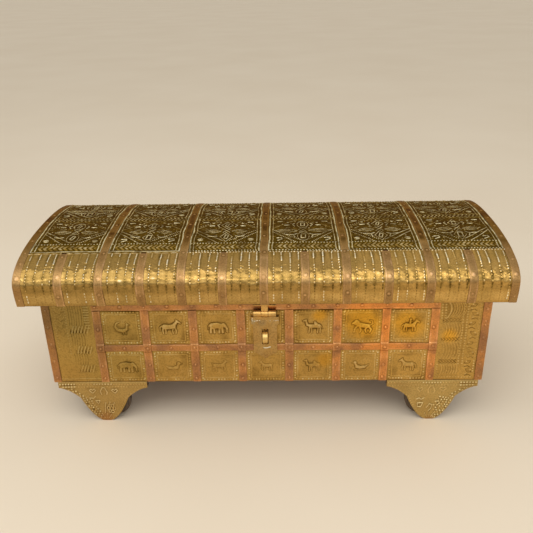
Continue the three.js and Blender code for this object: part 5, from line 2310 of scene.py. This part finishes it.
        # The plate's upper edge is hammered back against the sheet above it.
        relief.rise -= 0.55 * np.clip((relief.along - 42.4) / 1.0, 0, 1)
        node = f"front_{'left' if side < 0 else 'right'}_foot"
        ground = replace(FlatGround.face("front", self.face_y), origin=(side * self.centre, -self.face_y, 0.0))
        shell = sheet_shell(ground, relief, 0.4, tone)
        add_piece(f"{node}_embossed_plate", [shell], FOOT_BRASS, Body.CHEST, (f"{node}_plate",))

    def build(self) -> None:
        """Make the plates and round the boards' edges."""
        self.plate(-1)
        self.plate(1)
        for node in ("front_left_foot", "front_right_foot", "back_left_foot", "back_right_foot"):
            rounded_node(node, FOOT_WOOD, Body.CHEST, 0.5)


@dataclass(frozen=True)
class Wheels:
    """Four turned wooden wheels on iron rods.

    Attributes:
        centre: X and Y of a wheel's middle.
        axle_z: Height of the rods.
        radius: Radius of the tread.
        width: Width of the tread.
        bore: Radius of the bore.
    """

    centre: Pair = (147.5, 74.8)
    axle_z: float = 17.8
    radius: float = 17.5
    width: float = 8.0
    bore: float = 2.6

    def profile(self) -> np.ndarray:
        """The turned section, by radius and distance along the rod, once round.

        Returns:
            Points from the hub's outer face over the tread and back through the bore.
        """
        half = self.width / 2
        side = [
            (self.bore, half), (5.0, half), (5.7, half - 0.3), (6.0, half - 0.9), (6.7, half - 1.5), (7.6, half - 1.7),
            (9.4, half - 1.3), (10.2, half - 1.2), (10.5, half - 1.6), (11.2, half - 1.6), (11.6, half - 1.1),
            (12.6, half - 0.5), (13.4, half - 0.1), (14.2, half), (15.6, half - 0.05), (16.5, half - 0.5),
            (self.radius - 0.1, half - 1.3), (self.radius, half - 2.2),
        ]
        return np.array(side + [(self.radius, 0.0)] + [(radius, -along) for radius, along in side[::-1]])

    def wheel(self, end: str, side: str) -> None:
        """Turn one wheel: its section is carried once round the rod.

        Args:
            end: "front" or "back".
            side: "left" or "right".
        """
        steps = 64
        angle = np.arange(steps)[:, None] * 2 * np.pi / steps
        radius, along = self.profile().T
        x = self.centre[0] * (1 if side == "right" else -1) + radius * np.cos(angle)
        y = self.centre[1] * (1 if end == "back" else -1) + along + 0 * angle
        z = self.axle_z + radius * np.sin(angle)
        points = np.stack([x, y, z], axis=-1).reshape(-1, 3)
        shell = Shell(points, np.full(len(points), 0.5), grid_quads(steps, len(radius), True, True))
        name = f"wheel_{end}_{side}"
        add_piece(f"{name}_turned", [shell], WHEEL_WOOD, name, (name,), 40.0)

    def build(self) -> None:
        """Make the wheels and the rods."""
        for end in ("front", "back"):
            for side in ("left", "right"):
                self.wheel(end, side)
        for node in ("left_axle", "right_axle"):
            rounded_node(node, AXLE_IRON, Body.CHEST, 0.35)


@dataclass(frozen=True)
class Fittings:
    """The hasp, its staple and the two hinges.

    Attributes:
        plate_face: Where the hasp plate's outer face lies.
        mark_z: Height of the chisel mark under the slot.
    """

    plate_face: float = 87.35
    mark_z: float = 80.6

    def dried_polish(self) -> None:
        """Lay the white crumbs of dried polish: a line under the barrel and the bowed mark under the slot.

        Each is a thin sheet whose ground lies just inside the plate, so that only its crumbs stand out.
        """
        crust = Relief.sheet((-11.9, 11.9), (105.6, 111.3), 0.3)
        crust.unsteady(0.4, 3, 850)
        crust.dashes((-11.2, 111.0), (-11.0, 108.2), 1.5, 1.3, 0.55, 0.46, 851)
        crust.dashes((-11.2, 107.8), (11.6, 108.2), 1.5, 1.2, 0.55, 0.44, 852)
        mark = Relief.sheet((-2.6, 5.6), (self.mark_z - 2.2, self.mark_z + 2.2), 0.25)
        for stroke in (((-1.5, -0.2), (1.3, -0.4)), ((1.6, -0.2), (4.2, 0.6))):
            mark.ridge([(across, self.mark_z + along) for across, along in stroke], 0.65, 0.45)
        shells = []
        for relief in (crust, mark):
            relief.rise -= 0.14
            shells.append(sheet_shell(FlatGround.face("front", self.plate_face), relief, 0.3, relief.tone(0.25, 3)))
        add_piece("hasp_dried_polish", shells, DRIED_POLISH, Body.HASP)

    def build(self) -> None:
        """Finish every fitting."""
        rounded_node("hasp_plate", HASP_BRASS, Body.HASP, 0.4)
        rounded_node("hasp_leaf", HASP_BRASS, Body.LID, 0.25)
        rounded_node("staple", STAPLE_BRASS, Body.CHEST, 0.4, 3)
        for side in ("left", "right"):
            rounded_node(f"hinge_{side}_body_leaf", FITTING_BRASS, Body.CHEST, 0.25)
            rounded_node(f"hinge_{side}_lid_leaf", FITTING_BRASS, Body.LID, 0.2)
        self.dried_polish()


class WoodWork:
    """The boards under the metal, with planed-off edges."""

    def build(self) -> None:
        """Finish every board."""
        for node in ("front_board", "back_board", "left_board", "right_board", "bottom_board"):
            rounded_node(node, BOX_WOOD, Body.CHEST, 0.4)
        for node in ("lid_shell", "lid_left_end", "lid_right_end", "lid_frame"):
            rounded_node(node, BOX_WOOD, Body.LID, 0.4)


# The studio.


@dataclass(frozen=True)
class Softbox:
    """A soft lamp that looks at the chest.

    Attributes:
        name: Its name.
        place: Where it hangs, in mm.
        size: Its width and height, in mm.
        watts: Its power.
    """

    name: str
    place: Triple
    size: Pair
    watts: float

    def build(self, target: Triple) -> None:
        """Hang the lamp so that it faces a point, with its width level.

        Args:
            target: The point, in mm.
        """
        lamp = bpy.data.lights.new(self.name, "AREA")
        lamp.shape = "RECTANGLE"
        lamp.size, lamp.size_y = self.size[0] * MM, self.size[1] * MM
        lamp.energy = self.watts
        turn = (Vector(target) - Vector(self.place)).to_track_quat("-Z", "Y").to_matrix().to_4x4()
        in_scene(self.name, lamp).matrix_world = Matrix.Translation(Vector(self.place) * MM) @ turn


@dataclass(frozen=True)
class Studio:
    """A plain pale floor, soft lamps, an even sky and the photograph's camera.

    Attributes:
        floor_reach: Half the width of the floor, in m.
        sky_colour: Colour of the sky.
        sky_strength: Its strength.
        camera_place: Where the camera stands, in mm.
        pitch: How far it looks down, in degrees.
        yaw: How far it is turned to the left, in degrees.
        roll: How far it is rolled, in degrees.
        lens: Its focal length on a sensor 36 mm wide.
        target: The point the lamps look at, in mm.
    """

    floor_reach: float = 30.0
    sky_colour: str = "#f2efe9"
    sky_strength: float = 0.78
    camera_place: Triple = (15.4, -575.9, 385.6)
    pitch: float = 24.75
    yaw: float = 1.52
    roll: float = -1.22
    lens: float = 43.2
    target: Triple = (0.0, -20.0, 110.0)

    def floor(self) -> None:
        """Lay the floor: one large plane of matt, faintly mottled card."""
        mesh = bpy.data.meshes.new("studio_floor")
        reach = self.floor_reach
        corners = [(-reach, -reach, 0), (reach, -reach, 0), (reach, reach, 0), (-reach, reach, 0)]
        mesh.from_pydata(corners, [], [(0, 1, 2, 3)])
        mesh.materials.append(FLOOR_CARD.material())
        in_scene("studio_floor", mesh)

    def sky(self) -> None:
        """Fill the world with an even pale light."""
        world = bpy.data.worlds.new("studio_sky")
        tree = empty_tree(world)
        sky = add_node(tree, "Background", {"Color": linear(self.sky_colour), "Strength": self.sky_strength})
        add_node(tree, "OutputWorld", {"Surface": sky})
        bpy.context.scene.world = world

    def camera(self) -> None:
        """Stand the camera where the photograph was taken from.

        It looks along (-sin yaw * cos pitch, cos yaw * cos pitch, -sin pitch), and is then rolled.
        """
        pitch, yaw, roll = (math.radians(a) for a in (self.pitch, self.yaw, self.roll))
        forward = Vector((-math.sin(yaw) * math.cos(pitch), math.cos(yaw) * math.cos(pitch), -math.sin(pitch)))
        level = Vector((math.cos(yaw), math.sin(yaw), 0.0))
        upward = level.cross(forward)
        right = level * math.cos(roll) + upward * math.sin(roll)
        up = upward * math.cos(roll) - level * math.sin(roll)
        turn = Matrix((right, up, -forward)).transposed().to_4x4()
        data = bpy.data.cameras.new("photo_camera")
        data.sensor_width = 36.0
        data.lens = self.lens
        data.clip_start, data.clip_end = 0.01, 100.0
        camera = in_scene("photo_camera", data)
        camera.matrix_world = Matrix.Translation(Vector(self.camera_place) * MM) @ turn
        bpy.context.scene.camera = camera

    def build(self) -> None:
        """Set up the floor, sky, lamps and camera."""
        self.floor()
        self.sky()
        self.camera()
        # The strip lamp and the front softbox draw the bright band along the lid's shoulder.
        for lamp in (
            Softbox("strip_lamp", (0, -760, 1010), (1500, 110), 0.9),
            Softbox("front_softbox", (-100, -1100, 800), (1900, 640), 2.6),
            Softbox("overhead_softbox", (-250, -600, 1420), (1700, 1150), 8.0),
        ):
            lamp.build(self.target)
        bpy.context.scene.view_settings.view_transform = "Standard"


def main() -> None:
    """Build every sub-assembly in order."""
    logging.basicConfig(level=logging.INFO, format="%(name)s: %(message)s")
    for part in (
        WoodWork(), BodyCladding(), BodyStraps(), LidCladding(), LidStraps(), Feet(), Wheels(), Fittings(), Studio(),
    ):
        part.build()


if __name__ == "__main__":
    main()
